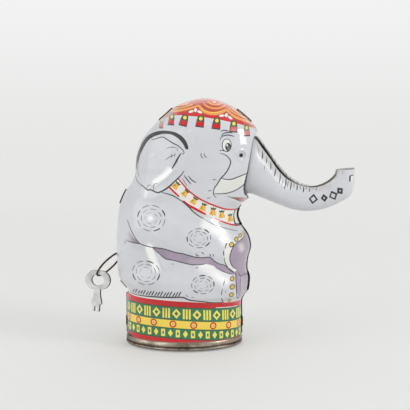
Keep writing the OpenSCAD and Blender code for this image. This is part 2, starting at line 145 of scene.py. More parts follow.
# Each row: height, back, front, half the width as a share of BODY_HALF, and the power of the section's oval
SECTIONS = np.array([
    [1, -DRUM_X, DRUM_X, DRUM_SHARE, 2],
    [8, -DRUM_X, DRUM_X, DRUM_SHARE, 2],
    [15, -DRUM_X, DRUM_X, DRUM_SHARE, 2],
    [22, -DRUM_X, DRUM_X, DRUM_SHARE, 2],
    [25.5, -29.9, 31.6, 0.95, 2.1],
    [27.6, -28.9, 32.9, 0.97, 2.2],
    [34, -33.8, 33.6, 1, 2.3],
    [39, -34.5, 32.6, 1, 2.3],
    [44.5, -35.0, 33.0, 1, 2.3],
    [50.5, -35.3, 34.4, 1, 2.3],
    [56.5, -35.1, 33.0, 0.99, 2.3],
    [62.5, -34.6, 29.0, 0.965, 2.3],
    [67.5, -34.0, 27.5, 0.93, 2.3],
    [72, -33.2, 29.4, 1.05 * NECK, 2.3],
    [75.5, -31.9, 33.6, 1.02 * NECK, 2.25],
    [79.3, -30.0, 35.8, 1.0 * NECK, 2.2],
    [83, -27.2, 37.2, 0.99 * NECK, 2.2],
    [87.5, -25.2, 38.2, 1.0 * NECK, 2.2],
    [92, -24.9, 38.9, 1.01 * NECK, 2.2],
    [97, -24.5, 39.7, 1.0 * NECK, 2.2],
    [102, -23.1, 39.9, 0.97 * NECK, 2.2],
    [106.5, -20.9, 38.9, 0.93 * NECK, 2.2],
    [111.3, -16.8, 37.4, 0.88 * NECK, 2.2],
    [115.3, -13.0, 33.9, 0.81 * NECK, 2.15],
    [119, -8.8, 29.7, 0.70 * NECK, 2.1],
    [122.2, -5.0, 25.3, 0.56 * NECK, 2.05],
    [124.4, 0.2, 21.0, 0.40 * NECK, 2],
    [126.0, 5.4, 16.2, 0.21 * NECK, 2],
    [126.6, 8.9, 12.9, 0, 2],
])
# Rows of the drum's top, of the foot and the top of the trunk's slot, and of the crown
DRUM_TOP, CHIN, BROW, CROWN = 3, 14, 21.6, len(SECTIONS) - 1
OPENING_HALF = 13.0
# Broad swells of ear, legs and cheek: a line in the side view, its reach, its slope and its share of RELIEF_H
RELIEF = [
    ((-13, 101), (-15, 86), 13, 5, 1),
    ((-8, 60), (26, 50), 10, 7, 1),
    ((-20, 32), (27, 30), 11, 8, 1),
    ((-18, 64), (-16, 66), 11, 9, 0.6),
    ((6, 84), (18, 84), 11, 9, 0.7),
]
RELIEF_H = 1.4
# Finer ridges and bosses: a path in the side view, half its width and its height
EMBOSS = [
    ([(-13.6, 82.6), (-12.4, 84.2), (-9.8, 86), (-6.4, 88.2), (-3.8, 90.7)], 1.9, 0.45),
    ([(4.2, 109.8), (4.3, 109.9)], 1.1, 0.35),
    ([(-14.7, 97.9), (-14.6, 98)], 1.0, 0.35),
    ([(-15, 66.7), (-15.1, 66.8)], 1.6, 0.35),
    ([(-14.4, 52), (-12.6, 49), (-10.2, 45.6), (-8.4, 42.6)], 2.2, 0.5),
    ([(7, 44), (12, 43.4), (18, 41.4), (24, 38)], 2.4, 0.45),
    ([(8, 66.8), (14, 64.6), (20, 62), (25, 59.4)], 3.0, 0.5),
    ([(28, 49), (28.6, 50.4)], 3.0, 0.4),
    ([(29.5, 34), (29.8, 28)], 1.8, 0.35),
]
# The trunk's axle in the side view, and the radius of the holes that it runs in
PIVOT = (29.5, 98.1)
AXLE_HOLE = 0.96


def ease(t):
    c = np.clip(t, 0, 1)
    return c * c * (3 - 2 * c)


def between(p0, p1, p2, p3, t):
    """The place at share t of the way from p1 to p2, on a curve that runs through all four."""
    return p1 + t / 2 * ((p2 - p0) + t * ((2 * p0 - 5 * p1 + 4 * p2 - p3) + t * (3 * p1 - p0 - 3 * p2 + p3)))


def rows_at(table, s):
    """Rows of a table at the fractional places s, on a curve through all its rows."""
    last = len(table) - 1
    i = np.clip(np.floor(s).astype(int), 0, last - 1)
    return between(*(table[np.clip(i + k, 0, last)] for k in (-1, 0, 1, 2)), (s - i)[:, None])


def from_line(x, z, a, b):
    """Distance of the places from the line between a and b."""
    dx, dz = b[0] - a[0], b[1] - a[1]
    t = np.clip(((x - a[0]) * dx + (z - a[1]) * dz) / (dx * dx + dz * dz), 0, 1)
    return np.hypot(x - a[0] - t * dx, z - a[1] - t * dz)


def from_path(x, z, path):
    """Distance of the places from the nearest line of a path."""
    return np.min([from_line(x, z, path[k], path[k + 1]) for k in range(len(path) - 1)], axis=0)


def smooth(points, step=0.8, closed=False):
    """A curve through the points, with a point about every step."""
    p = np.array(points, float)
    n = len(p)
    out = []
    for i in range(n if closed else n - 1):
        q = p[[(i + k) % n if closed else min(max(i + k, 0), n - 1) for k in (-1, 0, 1, 2)]]
        count = max(2, int(np.hypot(*(q[2] - q[1])) / step) + 1)
        out += [between(*q, t) for t in np.arange(count) / count]
    if not closed:
        out.append(p[-1])
    return np.array(out)


def round_axle(radius):
    """Points every 15 degrees on a circle round the axle, in the side view."""
    return [(PIVOT[0] + radius * math.cos(t), PIVOT[1] + radius * math.sin(t))
            for t in np.radians(np.arange(0, 360, 15))]


class BodyHalf:
    """The right half of drum, body and head as a map from the flat print to the pressed tin. The flat print
    runs half a millimetre for each degree round the section, and up along the section's rise."""

    PER_DEGREE = 0.5
    # Painted shade: how light the inside and the cut edge show
    INSIDE, EDGE = 0.14, 0.25

    def __init__(self):
        self.s = np.linspace(0, CROWN, 2801)
        rows = rows_at(SECTIONS, self.s)
        self.z = rows[:, 0]
        half = np.maximum(rows[:, 3], 0) * BODY_HALF
        self.rise = np.concatenate([[0], np.cumsum(np.hypot(np.diff(self.z), np.diff(half)))])
        self.round = np.linspace(0, 180, 721)
        a = np.radians(self.round)
        steps = np.hypot(np.diff(DRUM_X * np.cos(a)), np.diff(DRUM_SHARE * BODY_HALF * np.sin(a)))
        self.way = np.concatenate([[0], np.cumsum(steps)])

    def depth(self, uv):
        """Painted shade of the inside: dark all over."""
        return np.full(len(uv), self.INSIDE)

    def seam(self, low, high, front, step=0.5):
        """Points up the seam between two heights, as x and z."""
        z = np.append(np.arange(low, high, step), high)
        row = rows_at(SECTIONS, np.interp(z, self.z, self.s))
        return np.stack([row[:, 2 if front else 1], z], 1)

    def turn(self, s):
        """Angle in degrees at which the front edge of section s is."""
        half = np.maximum(rows_at(SECTIONS, s)[:, 3] * BODY_HALF, 1e-9)
        power = rows_at(SECTIONS, s)[:, 4]
        u = np.clip((2 * s - CHIN - BROW) / (BROW - CHIN), -1, 1)
        gap = np.minimum(OPENING_HALF * np.maximum(1 - np.abs(u) ** 3, 0) ** (1 / 3), half)
        return 180 - np.degrees(np.arcsin((gap / half) ** (power / 2)))

    def flat(self, s, degrees):
        return np.stack([degrees * self.PER_DEGREE, np.interp(s, self.s, self.rise)], 1)

    def side(self, points):
        """Places given as x, z in the side view, on the flat print."""
        x, z = np.array(points, float).reshape(-1, 2).T
        s = np.interp(z, self.z, self.s)
        row = rows_at(SECTIONS, s)
        mid, reach = (row[:, 1] + row[:, 2]) / 2, (row[:, 2] - row[:, 1]) / 2
        q = np.clip((x - mid) / np.maximum(reach, 1e-6), -1, 1)
        c = -np.sign(q) * np.abs(q) ** (row[:, 4] / 2)
        return self.flat(s, np.degrees(np.arccos(c)))

    def back(self, points):
        """Places on the back given as a distance from the seam and a height, on the flat print."""
        y, z = np.array(points, float).reshape(-1, 2).T
        s = np.interp(z, self.z, self.s)
        row = rows_at(SECTIONS, s)
        e = np.clip(y / (row[:, 3] * BODY_HALF), 0, 1) ** (row[:, 4] / 2)
        return self.flat(s, np.degrees(np.arcsin(e)))

    def wrap(self, points):
        """Places given as a share of the way round, 0 at the back seam and 1 at the front one, and a height,
        for bands that run round the oval drum, whose motifs are then evenly spaced."""
        share, z = np.array(points, float).reshape(-1, 2).T
        degrees = np.interp(share * self.way[-1], self.way, self.round)
        return self.flat(np.interp(z, self.z, self.s), degrees)

    def share(self, degrees):
        """The share of the way round the drum at an angle from its back."""
        return np.interp(degrees, self.round, self.way) / self.way[-1]

    def border(self, step):
        """The outline of the flat print: its foot, its front edge, the crown and the back seam."""
        s_up = np.interp(np.arange(0, self.rise[-1], step), self.rise, self.s)
        s_up = np.append(s_up, CROWN)
        turn = self.turn(s_up)
        front = self.flat(s_up, turn)
        back = self.flat(s_up[::-1], np.zeros(len(s_up)))
        along = np.arange(step, 90 - step / 2, step)
        foot = np.stack([along, np.zeros(len(along))], 1)
        crown = np.stack([along[::-1], np.full(len(along), self.rise[-1])], 1)
        return np.concatenate([foot, front, crown, back])

    def place(self, uv):
        """Outer face of the tin, right half, in millimetres."""
        s = np.interp(uv[:, 1], self.rise, self.s)
        row = rows_at(SECTIONS, s)
        power = row[:, 4]
        half = np.maximum(row[:, 3], 0) * BODY_HALF
        mid, reach = (row[:, 1] + row[:, 2]) / 2, (row[:, 2] - row[:, 1]) / 2
        a = np.radians(np.clip(uv[:, 0] / self.PER_DEGREE, 0, 180))
        c, e = np.cos(a), np.sin(a)
        e[np.abs(e) < 1e-9] = 0
        x = mid - reach * np.sign(c) * np.abs(c) ** (2 / power)
        y = half * np.abs(e) ** (2 / power)
        z = row[:, 0]
        lift = RELIEF_H * np.max([share * ease((far - from_line(x, z, p, q)) / slope)
                                  for p, q, far, slope, share in RELIEF], axis=0)
        y = y + np.where(s > DRUM_TOP, lift * ease(y / 8), 0) + self.fine(x, z) * ease(y / 4)
        return np.stack([x, -y, z], 1)

    def fine(self, x, z):
        """Small pressed detail over the model's own relief: the dimple round the axle, and ridges."""
        r = np.hypot(x - PIVOT[0], z - PIVOT[1])
        dimple = 0.3 * ease(1 - np.abs(r - 2.7) / 0.8) - 0.5 * ease((2.2 - r) / 0.7)
        return dimple + sum(high * ease(1 - from_path(x, z, path) / wide) for path, wide, high in EMBOSS)

    def fine_points(self):
        """Extra points for the pressed detail, on the flat print."""
        found = [p for r in (1.2, 1.5, 1.8, 2.1, 2.4, 2.7, 3.0, 3.3) for p in round_axle(r)]
        for path, wide, _ in EMBOSS:
            low, high = np.min(path, 0) - wide, np.max(path, 0) + wide
            x, z = (c.ravel() for c in np.meshgrid(*(np.arange(a, b, 0.5) for a, b in zip(low, high))))
            near = from_path(x, z, path) < wide
            found += list(zip(x[near], z[near]))
        return self.side(found)


class TrunkHalf:
    """Half of the trunk as a map from its flat print, from the underside seam to the groove's lip.
    The left half's lip is nearer the middle and higher."""

    WIDTH = 26.0
    # Painted shade: how light the cut edge shows
    EDGE = 0.8
    # Distance of the root's underside from the axle, and the power of the sections' ovals
    ROOT_R, POWER = 20.9, 2.5
    # The trunk's full width, and what it loses for each step of narrowing
    FULL_WIDTH, NARROWING = 24, 1.48

    def __init__(self, left=False):
        self.lip, self.step = (0.8, 1.6) if left else (2.6, -0.3)

        def root(degrees, top, narrowing):
            a = math.radians(degrees)
            return [PIVOT[0] + self.ROOT_R * math.cos(a), PIVOT[1] + self.ROOT_R * math.sin(a),
                    *top, narrowing]

        # Each row: x and z of the underside, x and z of the top, and the steps of narrowing
        self.table = np.array([
            root(-125, (22.5, 104.5), 0.3),
            root(-108, (27.5, 107.5), 0.1),
            root(-92, (32, 108.2), 0),
            root(-76.6, (36.7, 106.9), 0.2),
            [39.9, 75.8, 40.3, 102.3, 1.4],
            [45.4, 73.6, 44.5, 96.6, 3],
            [50.2, 71.7, 48.2, 91.2, 4.6],
            [54.6, 70.1, 52.7, 86.5, 6],
            [59.6, 69.0, 57.3, 83.7, 7],
            [64.9, 68.7, 62.3, 82.0, 7.8],
            [70.5, 69.4, 66.9, 81.7, 8.4],
            [75.8, 71.1, 70.9, 82.7, 8.9],
            [81.0, 73.5, 74.6, 84.7, 9.3],
            [85.6, 76.4, 77.4, 87.3, 9.6],
            [87.7, 80.7, 78.2, 88.9, 9.8],
            [87.8, 86.0, 78.3, 89.6, 10],
            [87.9, 91.1, 78.4, 90.2, 10],
        ])
        self.table[:, 4] = self.FULL_WIDTH - self.NARROWING * self.table[:, 4]
        self.s = np.linspace(0, len(self.table) - 1, 1601)
        rows = rows_at(self.table, self.s)
        mid = (rows[:, 0:2] + rows[:, 2:4]) / 2
        self.rise = np.concatenate([[0], np.cumsum(np.hypot(*np.diff(mid, axis=0).T))])

    def flat(self, points):
        """Places given as a row and a share of the way from seam to lip, on the flat print."""
        s, t = np.array(points, float).reshape(-1, 2).T
        return np.stack([-t * self.WIDTH, np.interp(s, self.s, self.rise)], 1)

    def side(self, points):
        """Places given as x, z in the side view, on the flat print."""
        s, t = np.meshgrid(np.linspace(0, len(self.table) - 1, 321), np.linspace(0.02, 0.96, 95))
        net = self.flat(np.stack([s.ravel(), t.ravel()], 1))
        spots = self.place(net)[:, [0, 2]]
        return np.array([net[np.argmin(np.sum((spots - p) ** 2, 1))] for p in np.array(points, float)])

    def border(self, step):
        """The outline of the flat print: its root, the lip, the tip and the underside's seam."""
        s_up = np.interp(np.arange(0, self.rise[-1], step), self.rise, self.s)
        s_up = np.append(s_up, len(self.table) - 1)
        lip = self.flat(np.stack([s_up, np.ones(len(s_up))], 1))
        seam = self.flat(np.stack([s_up[::-1], np.zeros(len(s_up))], 1))
        along = -np.arange(step, self.WIDTH - step / 2, step)
        root = np.stack([along, np.zeros(len(along))], 1)
        tip = np.stack([along[::-1], np.full(len(along), self.rise[-1])], 1)
        return np.concatenate([root, lip, tip, seam])

    def place(self, uv):
        """Outer face of the tin, right half, in millimetres."""
        s = np.interp(uv[:, 1], self.rise, self.s)
        t = np.clip(-uv[:, 0] / self.WIDTH, 0, 1)
        row = rows_at(self.table, s)
        half = row[:, 4] / 2
        turn = 180 - np.degrees(np.arcsin((self.lip / half) ** (self.POWER / 2)))
        a = np.radians(t * turn)
        h = (1 - np.cos(a)) / 2
        y = half * np.abs(np.sin(a)) ** (2 / self.POWER)
        y[t < 1e-9] = 0
        top = row[:, 3] + self.step * ease((s - 2.4) / 1.6) * ease((9 - s) / 3)
        return np.stack([row[:, 0] + (row[:, 2] - row[:, 0]) * h, -y, row[:, 1] + (top - row[:, 1]) * h], 1)

    def depth(self, uv):
        """Painted shade and light of the inside: dark under the groove, light at the open tip."""
        return 0.05 + 1.25 * ease((np.interp(uv[:, 1], self.rise, self.s) - 8) / 3)

    def far_lip(self):
        """The lip of the groove from the root to where both lips are level."""
        s = np.arange(3.1, 9.6, 0.1)
        x, y, z = self.place(self.flat(np.stack([s, np.ones(len(s))], 1))).T
        return np.stack([x, -y - 0.2, z - np.linspace(0.0, 0.25, len(s))], 1)


# Flat art: every shape is an outline and an ink, later shapes over earlier ones


# Printed lines are this much wider than they are drawn
INK_SPREAD = 1.32


def stroke(points, width, ink, ends=0.35, step=0.7):
    """A brush line, full width in the middle and ends times that at both ends."""
    line = smooth(points, step)
    along = np.gradient(line, axis=0)
    along /= np.maximum(np.hypot(*along.T), 1e-9)[:, None]
    off = np.stack([-along[:, 1], along[:, 0]], 1)
    t = np.linspace(0, 1, len(line))
    w = INK_SPREAD * width / 2 * (ends + (1 - ends) * np.sin(np.pi * t) ** 0.6)
    return np.concatenate([line + off * w[:, None], (line - off * w[:, None])[::-1]]), ink


def shape(points, ink, step=0.8):
    return smooth(points, step, closed=True), ink


def straight(points, ink):
    return np.array(points, float), ink


def crossing(start, end, low, high):
    """A level band on the flat print, with points close enough to follow the tin."""
    across = np.linspace(start, end, int(abs(end - start) / 0.9))
    lower = np.stack([across, np.full(len(across), low)], 1)
    return np.concatenate([lower, lower[::-1] + [0, high - low]])


def oval(centre, rx, rz, ink, tilt=0.0, count=20):
    a = np.linspace(0, 2 * np.pi, count, endpoint=False)
    c, s = math.cos(math.radians(tilt)), math.sin(math.radians(tilt))
    x, z = rx * np.cos(a), rz * np.sin(a)
    return np.stack([centre[0] + c * x - s * z, centre[1] + s * x + c * z], 1), ink


# The printed halves


def anticlockwise(outline):
    """The outline in the order that the triangulation needs."""
    x, y = outline.T
    return outline if np.sum(x * np.roll(y, -1) - np.roll(x, -1) * y) > 0 else outline[::-1]


def holds(outline, places):
    """Which of the places lie inside the outline, wherever it crosses itself too."""
    x, y = places[:, :1], places[:, 1:]
    a, b = outline, np.roll(outline, -1, axis=0)
    left = (b[:, 0] - a[:, 0]) * (y - a[:, 1]) - (x - a[:, 0]) * (b[:, 1] - a[:, 1])
    up = (a[:, 1] <= y) & (b[:, 1] > y) & (left > 0)
    down = (a[:, 1] > y) & (b[:, 1] <= y) & (left < 0)
    return up.sum(1) != down.sum(1)


def topmost(art, places):
    """For each place, the number of the last shape that covers it, or 0."""
    top = np.zeros(len(places), int)
    for number, (outline, _) in enumerate(art, 1):
        near = np.all((places > outline.min(0)) & (places < outline.max(0)), axis=1).nonzero()[0]
        top[near[holds(outline, places[near])]] = number
    return top


def unit(v):
    return v / np.maximum(np.linalg.norm(v, axis=1), 1e-12)[:, None]


def cut_print(border, art, holes, points, step):
    """The flat print as places and triangles, cut along every outline of the art, with the holes left out."""
    flat, faces, edges = [], [], []
    for outline in map(anticlockwise, [border] + list(holes)):
        faces.append(list(range(len(flat), len(flat) + len(outline))))
        flat.extend(outline)
    for outline, _ in art:
        at, count = len(flat), len(outline)
        edges += [(at + k, at + (k + 1) % count) for k in range(count)]
        flat.extend(outline)
    low, high = border.min(0), border.max(0)
    grid_u = np.arange(low[0] + step / 2, high[0], step)
    grid_v = np.arange(low[1] + step / 2, high[1], step)
    flat.extend(np.stack(np.meshgrid(grid_u, grid_v), -1).reshape(-1, 2))
    flat.extend(points)
    found, _, triangles, _, _, origins = delaunay_2d_cdt(
        [Vector((float(p[0]), float(p[1]))) for p in flat], edges, faces, 1, 1e-4, True)
    kept = np.array([tri for tri, origin in zip(triangles, origins) if origin == [0]])
    used, tri = np.unique(kept, return_inverse=True)
    return np.array([found[k] for k in used]), tri.reshape(-1, 3)


def sheet_normals(surface, uv, low, high):
    """Normals of the pressed tin at places between the corners low and high, level where halves meet."""
    d = 0.05
    near = np.minimum(uv, high - [0, 3 * d])
    across = surface.place(near + [d, 0]) - surface.place(near - [d, 0])
    up = surface.place(near + [0, d]) - surface.place(np.maximum(near - [0, d], low))
    normal = unit(np.cross(across, up))
    normal[np.abs(surface.place(uv)[:, 1]) < 1e-6, 1] = 0
    return unit(normal)


def printed_sheet(name, surface, art, holes, points, inks, mirrored, thick, step, shade=None):
    """A closed sheet of tin whose outer face carries the art, painted highlights and shade among it, and
    whose inside and cut edges are darkened by painted shade. Art and holes are on the flat print.
    """
    border = surface.border(step)
    uv, tri = cut_print(border, art, holes, points, step)
    ink_of = np.repeat(topmost(art, uv[tri].mean(axis=1)), 3)
    outer, normal = surface.place(uv), sheet_normals(surface, uv, border.min(0), border.max(0))
    inner = outer - normal * thick
    if mirrored:
        outer, inner, normal = (v * [1, -1, 1] for v in (outer, inner, normal))
        tri = tri[:, ::-1]
    n = len(outer)
    sides = {(int(a), int(b)) for t in tri for a, b in ((t[0], t[1]), (t[1], t[2]), (t[2], t[0]))}
    rim = sorted((a, b) for a, b in sides if (b, a) not in sides)
    strips = np.array([[b, a, a + n, b + n] for a, b in rim])
    every = np.concatenate([outer, inner])
    mesh = bpy.data.meshes.new(name)
    mesh.from_pydata((every * MM).tolist(), [], tri.tolist() + (tri[:, ::-1] + n).tolist() + strips.tolist())
    keys = ["skin"] + [key for _, key in art]
    shown = np.array([(*inks[key], 1.0) for key in keys])[ink_of]
    if shade is not None:
        shown = shade(shown, outer[tri.reshape(-1)], np.array(keys)[ink_of])
    inside = len(shown)
    rgb = np.ones((len(mesh.loops), 4))
    rgb[:inside] = shown
    # The inside and the cut edges take painted shade from the surface's depth and EDGE.
    if hasattr(surface, "depth"):
        rgb[inside:2 * inside, :3] = surface.depth(uv[tri[:, ::-1].reshape(-1)])[:, None]
        rgb[2 * inside:, :3] = surface.EDGE
    layer = mesh.color_attributes.new("ink", "FLOAT_COLOR", "CORNER")
    layer.data.foreach_set("color", rgb.astype(np.float32).reshape(-1))
    slots = np.zeros(len(mesh.polygons), np.int32)
    slots[len(tri):] = 1
    mesh.polygons.foreach_set("material_index", slots)
    p = every[strips]
    face_normal = unit(np.cross(p[:, 2] - p[:, 0], p[:, 3] - p[:, 1]))
    loop_normal = np.concatenate([normal[tri.reshape(-1)], -normal[tri[:, ::-1].reshape(-1)],
                                  np.repeat(face_normal, 4, axis=0)])
    mesh.shade_smooth()
    mesh.normals_split_custom_set(loop_normal.tolist())
    piece = bpy.data.objects.new(name, mesh)
    bpy.context.scene.collection.objects.link(piece)
    return piece


# Node trees


class Net:
    """One node tree: nodes are added and joined in short calls."""

    def __init__(self, tree):
        self.tree = tree
        self.column = 0

    def add(self, kind, **settings):
        node = self.tree.nodes.new(kind)
        self.column += 1
        node.location = (180 * self.column, -60 * (self.column % 5))
        for key, value in settings.items():
            if key in node.inputs:
                node.inputs[key].default_value = value
            else:
                setattr(node, key, value)
        return node

    def join(self, source, target):
        self.tree.links.new(source, target)

    def chain(self, *nodes):
        """Joins the first output of each node to the first input of the next."""
        for source, target in zip(nodes, nodes[1:]):
            self.join(source.outputs[0], target.inputs[0])

    def math(self, operation, a, b):
        node = self.add("ShaderNodeMath", operation=operation)
        for socket, value in zip(node.inputs, (a, b)):
            if isinstance(value, (int, float)):
                socket.default_value = value
            else:
                self.join(value, socket)
        return node.outputs[0]

    def noise(self, place, scale, detail=3.0, roughness=0.55):
        node = self.add("ShaderNodeTexNoise")
        node.inputs["Scale"].default_value = scale
        node.inputs["Detail"].default_value = detail
        node.inputs["Roughness"].default_value = roughness
        self.join(place, node.inputs["Vector"])
        return node.outputs["Fac"]

    def spread(self, value, low, high, to_low=0.0, to_high=1.0):
        node = self.add("ShaderNodeMapRange")
        node.interpolation_type = "SMOOTHSTEP"
        self.join(value, node.inputs["Value"])
        for key, number in (("From Min", low), ("From Max", high)):
            node.inputs[key].default_value = number
        for key, number in (("To Min", to_low), ("To Max", to_high)):
            if isinstance(number, (int, float)):
                node.inputs[key].default_value = number
            else:
                self.join(number, node.inputs[key])
        return node.outputs["Result"]

    def mix(self, factor, a, b, blend="MIX"):
        node = self.add("ShaderNodeMix", data_type="RGBA", blend_type=blend)
        for socket, value in ((node.inputs[0], factor), (node.inputs[6], a), (node.inputs[7], b)):
            if isinstance(value, (int, float)):
                socket.default_value = value
            elif isinstance(value, tuple):
                socket.default_value = (*value, 1.0)[:4]
            else:
                self.join(value, socket)
        return node.outputs[2]


def node_group(name, kind, inputs, outputs):
    """A new node group with named sockets, some with a default; returns its net, its input node and its
    output node."""
    tree = bpy.data.node_groups.new(name, kind)
    for label, socket_type, *value in inputs:
        socket = tree.interface.new_socket(label, in_out="INPUT", socket_type=socket_type)
        if value:
            socket.default_value = value[0]
    for label, socket_type in outputs:
        tree.interface.new_socket(label, in_out="OUTPUT", socket_type=socket_type)
    net = Net(tree)
    return net, net.add("NodeGroupInput"), net.add("NodeGroupOutput")


def handling_marks():
    """Shared by all finishes: soft blotches, fine scratches and specks, each 0 to 1, and a bump height."""
    name = "Handling marks"
    if name in bpy.data.node_groups:
        return bpy.data.node_groups[name]
    net, given, out = node_group(
        name, "ShaderNodeTree",
        [("Place", "NodeSocketVector"), ("Blotch scale", "NodeSocketFloat", 60.0),
         ("Scratch amount", "NodeSocketFloat", 0.3), ("Speck amount", "NodeSocketFloat", 0.3)],
        [("Blotches", "NodeSocketFloat"), ("Scratches", "NodeSocketFloat"), ("Specks", "NodeSocketFloat"),
         ("Height", "NodeSocketFloat")])
    place = given.outputs["Place"]
    blotch = net.add("ShaderNodeTexNoise", Detail=4.0, Roughness=0.6)
    net.join(place, blotch.inputs["Vector"])
    net.join(given.outputs["Blotch scale"], blotch.inputs["Scale"])
    net.join(net.spread(blotch.outputs["Fac"], 0.3, 0.72), out.inputs["Blotches"])
    stretch = net.add("ShaderNodeMapping")
    stretch.inputs["Rotation"].default_value = (0.3, 0.5, 0.6)
    stretch.inputs["Scale"].default_value = (1, 1, 14)
    net.join(place, stretch.inputs["Vector"])
    line = net.noise(stretch.outputs["Vector"], 180, 2)
    patch = net.noise(place, 45, 2)
    limit = net.math("MULTIPLY", given.outputs["Scratch amount"], 0.1)
    streak = net.spread(line, 0.70, 0.76)
    mask = net.spread(net.math("ADD", patch, limit), 0.56, 0.66)
    net.join(net.math("MULTIPLY", net.math("MULTIPLY", streak, mask), given.outputs["Scratch amount"]),
             out.inputs["Scratches"])
    speck = net.noise(place, 900, 1)
    crowd = net.noise(place, 70, 2)
    dots = net.math("MULTIPLY", net.spread(speck, 0.70, 0.74), net.spread(crowd, 0.5, 0.7))
    net.join(net.math("MULTIPLY", dots, given.outputs["Speck amount"]), out.inputs["Specks"])
    net.join(net.noise(place, 240, 3), out.inputs["Height"])
    return net.tree


def new_finish(name, marks=(60.0, 0.3, 0.3)):
    """A material with its shader and the shared marks placed in it."""
    material = bpy.data.materials.new(name)
    material.use_nodes = True
    net = Net(material.node_tree)
    shader = material.node_tree.nodes["Principled BSDF"]
    group = net.add("ShaderNodeGroup")
    group.node_tree = handling_marks()
    net.join(net.add("ShaderNodeTexCoord").outputs["Object"], group.inputs["Place"])
    for key, value in zip(("Blotch scale", "Scratch amount", "Speck amount"), marks):
        group.inputs[key].default_value = value
    return material, net, shader, group.outputs


def bump(net, shader, height, strength, distance):
    node = net.add("ShaderNodeBump", Strength=strength, Distance=distance)
    net.join(height, node.inputs["Height"])
    net.join(node.outputs["Normal"], shader.inputs["Normal"])


def printed_tin(name="lacquered_print", gloss=0.8, haze=0.06):
    """Glossy lacquered print: the ink is the mesh's own colour, painted highlights and shade among it, with
    faint mottling and specks of tin.
    """
    if name in bpy.data.materials:
        return bpy.data.materials[name]
    material, net, shader, marks = new_finish(name, (75.0, 0.35, 0.25))
    ink = net.add("ShaderNodeAttribute", attribute_name="ink")
    dim = net.mix(net.spread(marks["Blotches"], 0, 1, 0.0, 0.10), ink.outputs["Color"], (0.55, 0.52, 0.48),
                  "MULTIPLY")
    worn = net.mix(net.math("MULTIPLY", marks["Specks"], 0.7), dim, tone(150, 146, 138))
    rubbed = net.mix(net.math("MULTIPLY", marks["Scratches"], 0.5), worn, tone(170, 166, 160))
    net.join(rubbed, shader.inputs["Base Color"])
    net.join(net.spread(marks["Blotches"], 0, 1, 0.26, 0.38), shader.inputs["Roughness"])
    shader.inputs["Specular IOR Level"].default_value = 0.25
    shader.inputs["Coat Weight"].default_value = gloss
    shader.inputs["Coat Roughness"].default_value = haze
    bump(net, shader, marks["Height"], 0.08, 0.0002)
    return material


def trunk_tin():
    """The trunk's print, whose lacquer is thinner and duller."""
    return printed_tin("thin_lacquer_print", 0.35, 0.3)


def bare_metal(name, light, dark, rough, marks=(60.0, 0.5, 0.4), metallic=1.0, depth=0.15):
    """Bare or plated metal between a light and a dark colour, duller where it is dark."""
    if name in bpy.data.materials:
        return bpy.data.materials[name]
    material, net, shader, marks = new_finish(name, marks)
    body = net.mix(marks["Blotches"], light, dark)
    pitted = net.mix(marks["Specks"], body, tuple(c * 0.35 for c in dark))
    scraped = net.mix(marks["Scratches"], pitted, tuple(min(1, c * 1.35) for c in light))
    net.join(scraped, shader.inputs["Base Color"])
    net.join(net.spread(marks["Blotches"], 0, 1, rough, rough + 0.16), shader.inputs["Roughness"])
    shader.inputs["Metallic"].default_value = metallic
    bump(net, shader, marks["Height"], depth, 0.0002)
    return material


def rolled_grime_and_shade():
    """Shared by the bare tin of the base: dirt and painted shade in the rim's groove and at its foot, 0 to 1,
    by height.
    """
    name = "Rolled grime"
    if name in bpy.data.node_groups:
        return bpy.data.node_groups[name]
    net, given, out = node_group(
        name, "ShaderNodeTree",
        [("Place", "NodeSocketVector"), ("Groove height", "NodeSocketFloat", 0.0018),
         ("Foot height", "NodeSocketFloat", 0.0007)], [("Grime", "NodeSocketFloat")])
    apart = net.add("ShaderNodeSeparateXYZ")
    net.join(given.outputs["Place"], apart.inputs[0])
    waver = net.math("MULTIPLY", net.noise(given.outputs["Place"], 160, 2), 0.0003)
    height = net.math("ADD", apart.outputs["Z"], waver)
    gap = net.math("ABSOLUTE", net.math("SUBTRACT", height, given.outputs["Groove height"]), 0)
    groove = net.spread(gap, 0.0002, 0.0007, 1.0, 0.0)
    foot = net.spread(net.math("DIVIDE", height, given.outputs["Foot height"]), 0.5, 1.2, 1.0, 0.0)
    net.join(net.math("MAXIMUM", groove, foot), out.inputs["Grime"])
    return net.tree


def rim_tin():
    """Bare tin of the base, darkened by dirt and painted shade in its rolled edge and at its foot, with a
    little rust.
    """
    if "rim_tinplate" in bpy.data.materials:
        return bpy.data.materials["rim_tinplate"]
    material = bare_metal("rim_tinplate", tone(200, 192, 176), tone(130, 116, 100), 0.26, (150.0, 0.7, 0.6))
    net = Net(material.node_tree)
    shader = material.node_tree.nodes["Principled BSDF"]
    bare = shader.inputs["Base Color"].links[0].from_socket
    grime_and_shade = net.add("ShaderNodeGroup")
    grime_and_shade.node_tree = rolled_grime_and_shade()
    place = net.add("ShaderNodeTexCoord").outputs["Object"]
    net.join(place, grime_and_shade.inputs["Place"])
    rust = net.spread(net.noise(place, 55, 3), 0.5, 0.66, 0.0, 0.4)
    rusty = net.mix(rust, bare, tone(158, 116, 102))
    net.join(net.mix(net.math("MULTIPLY", grime_and_shade.outputs["Grime"], 0.85), rusty, tone(48, 34, 32)),
             shader.inputs["Base Color"])
    return material


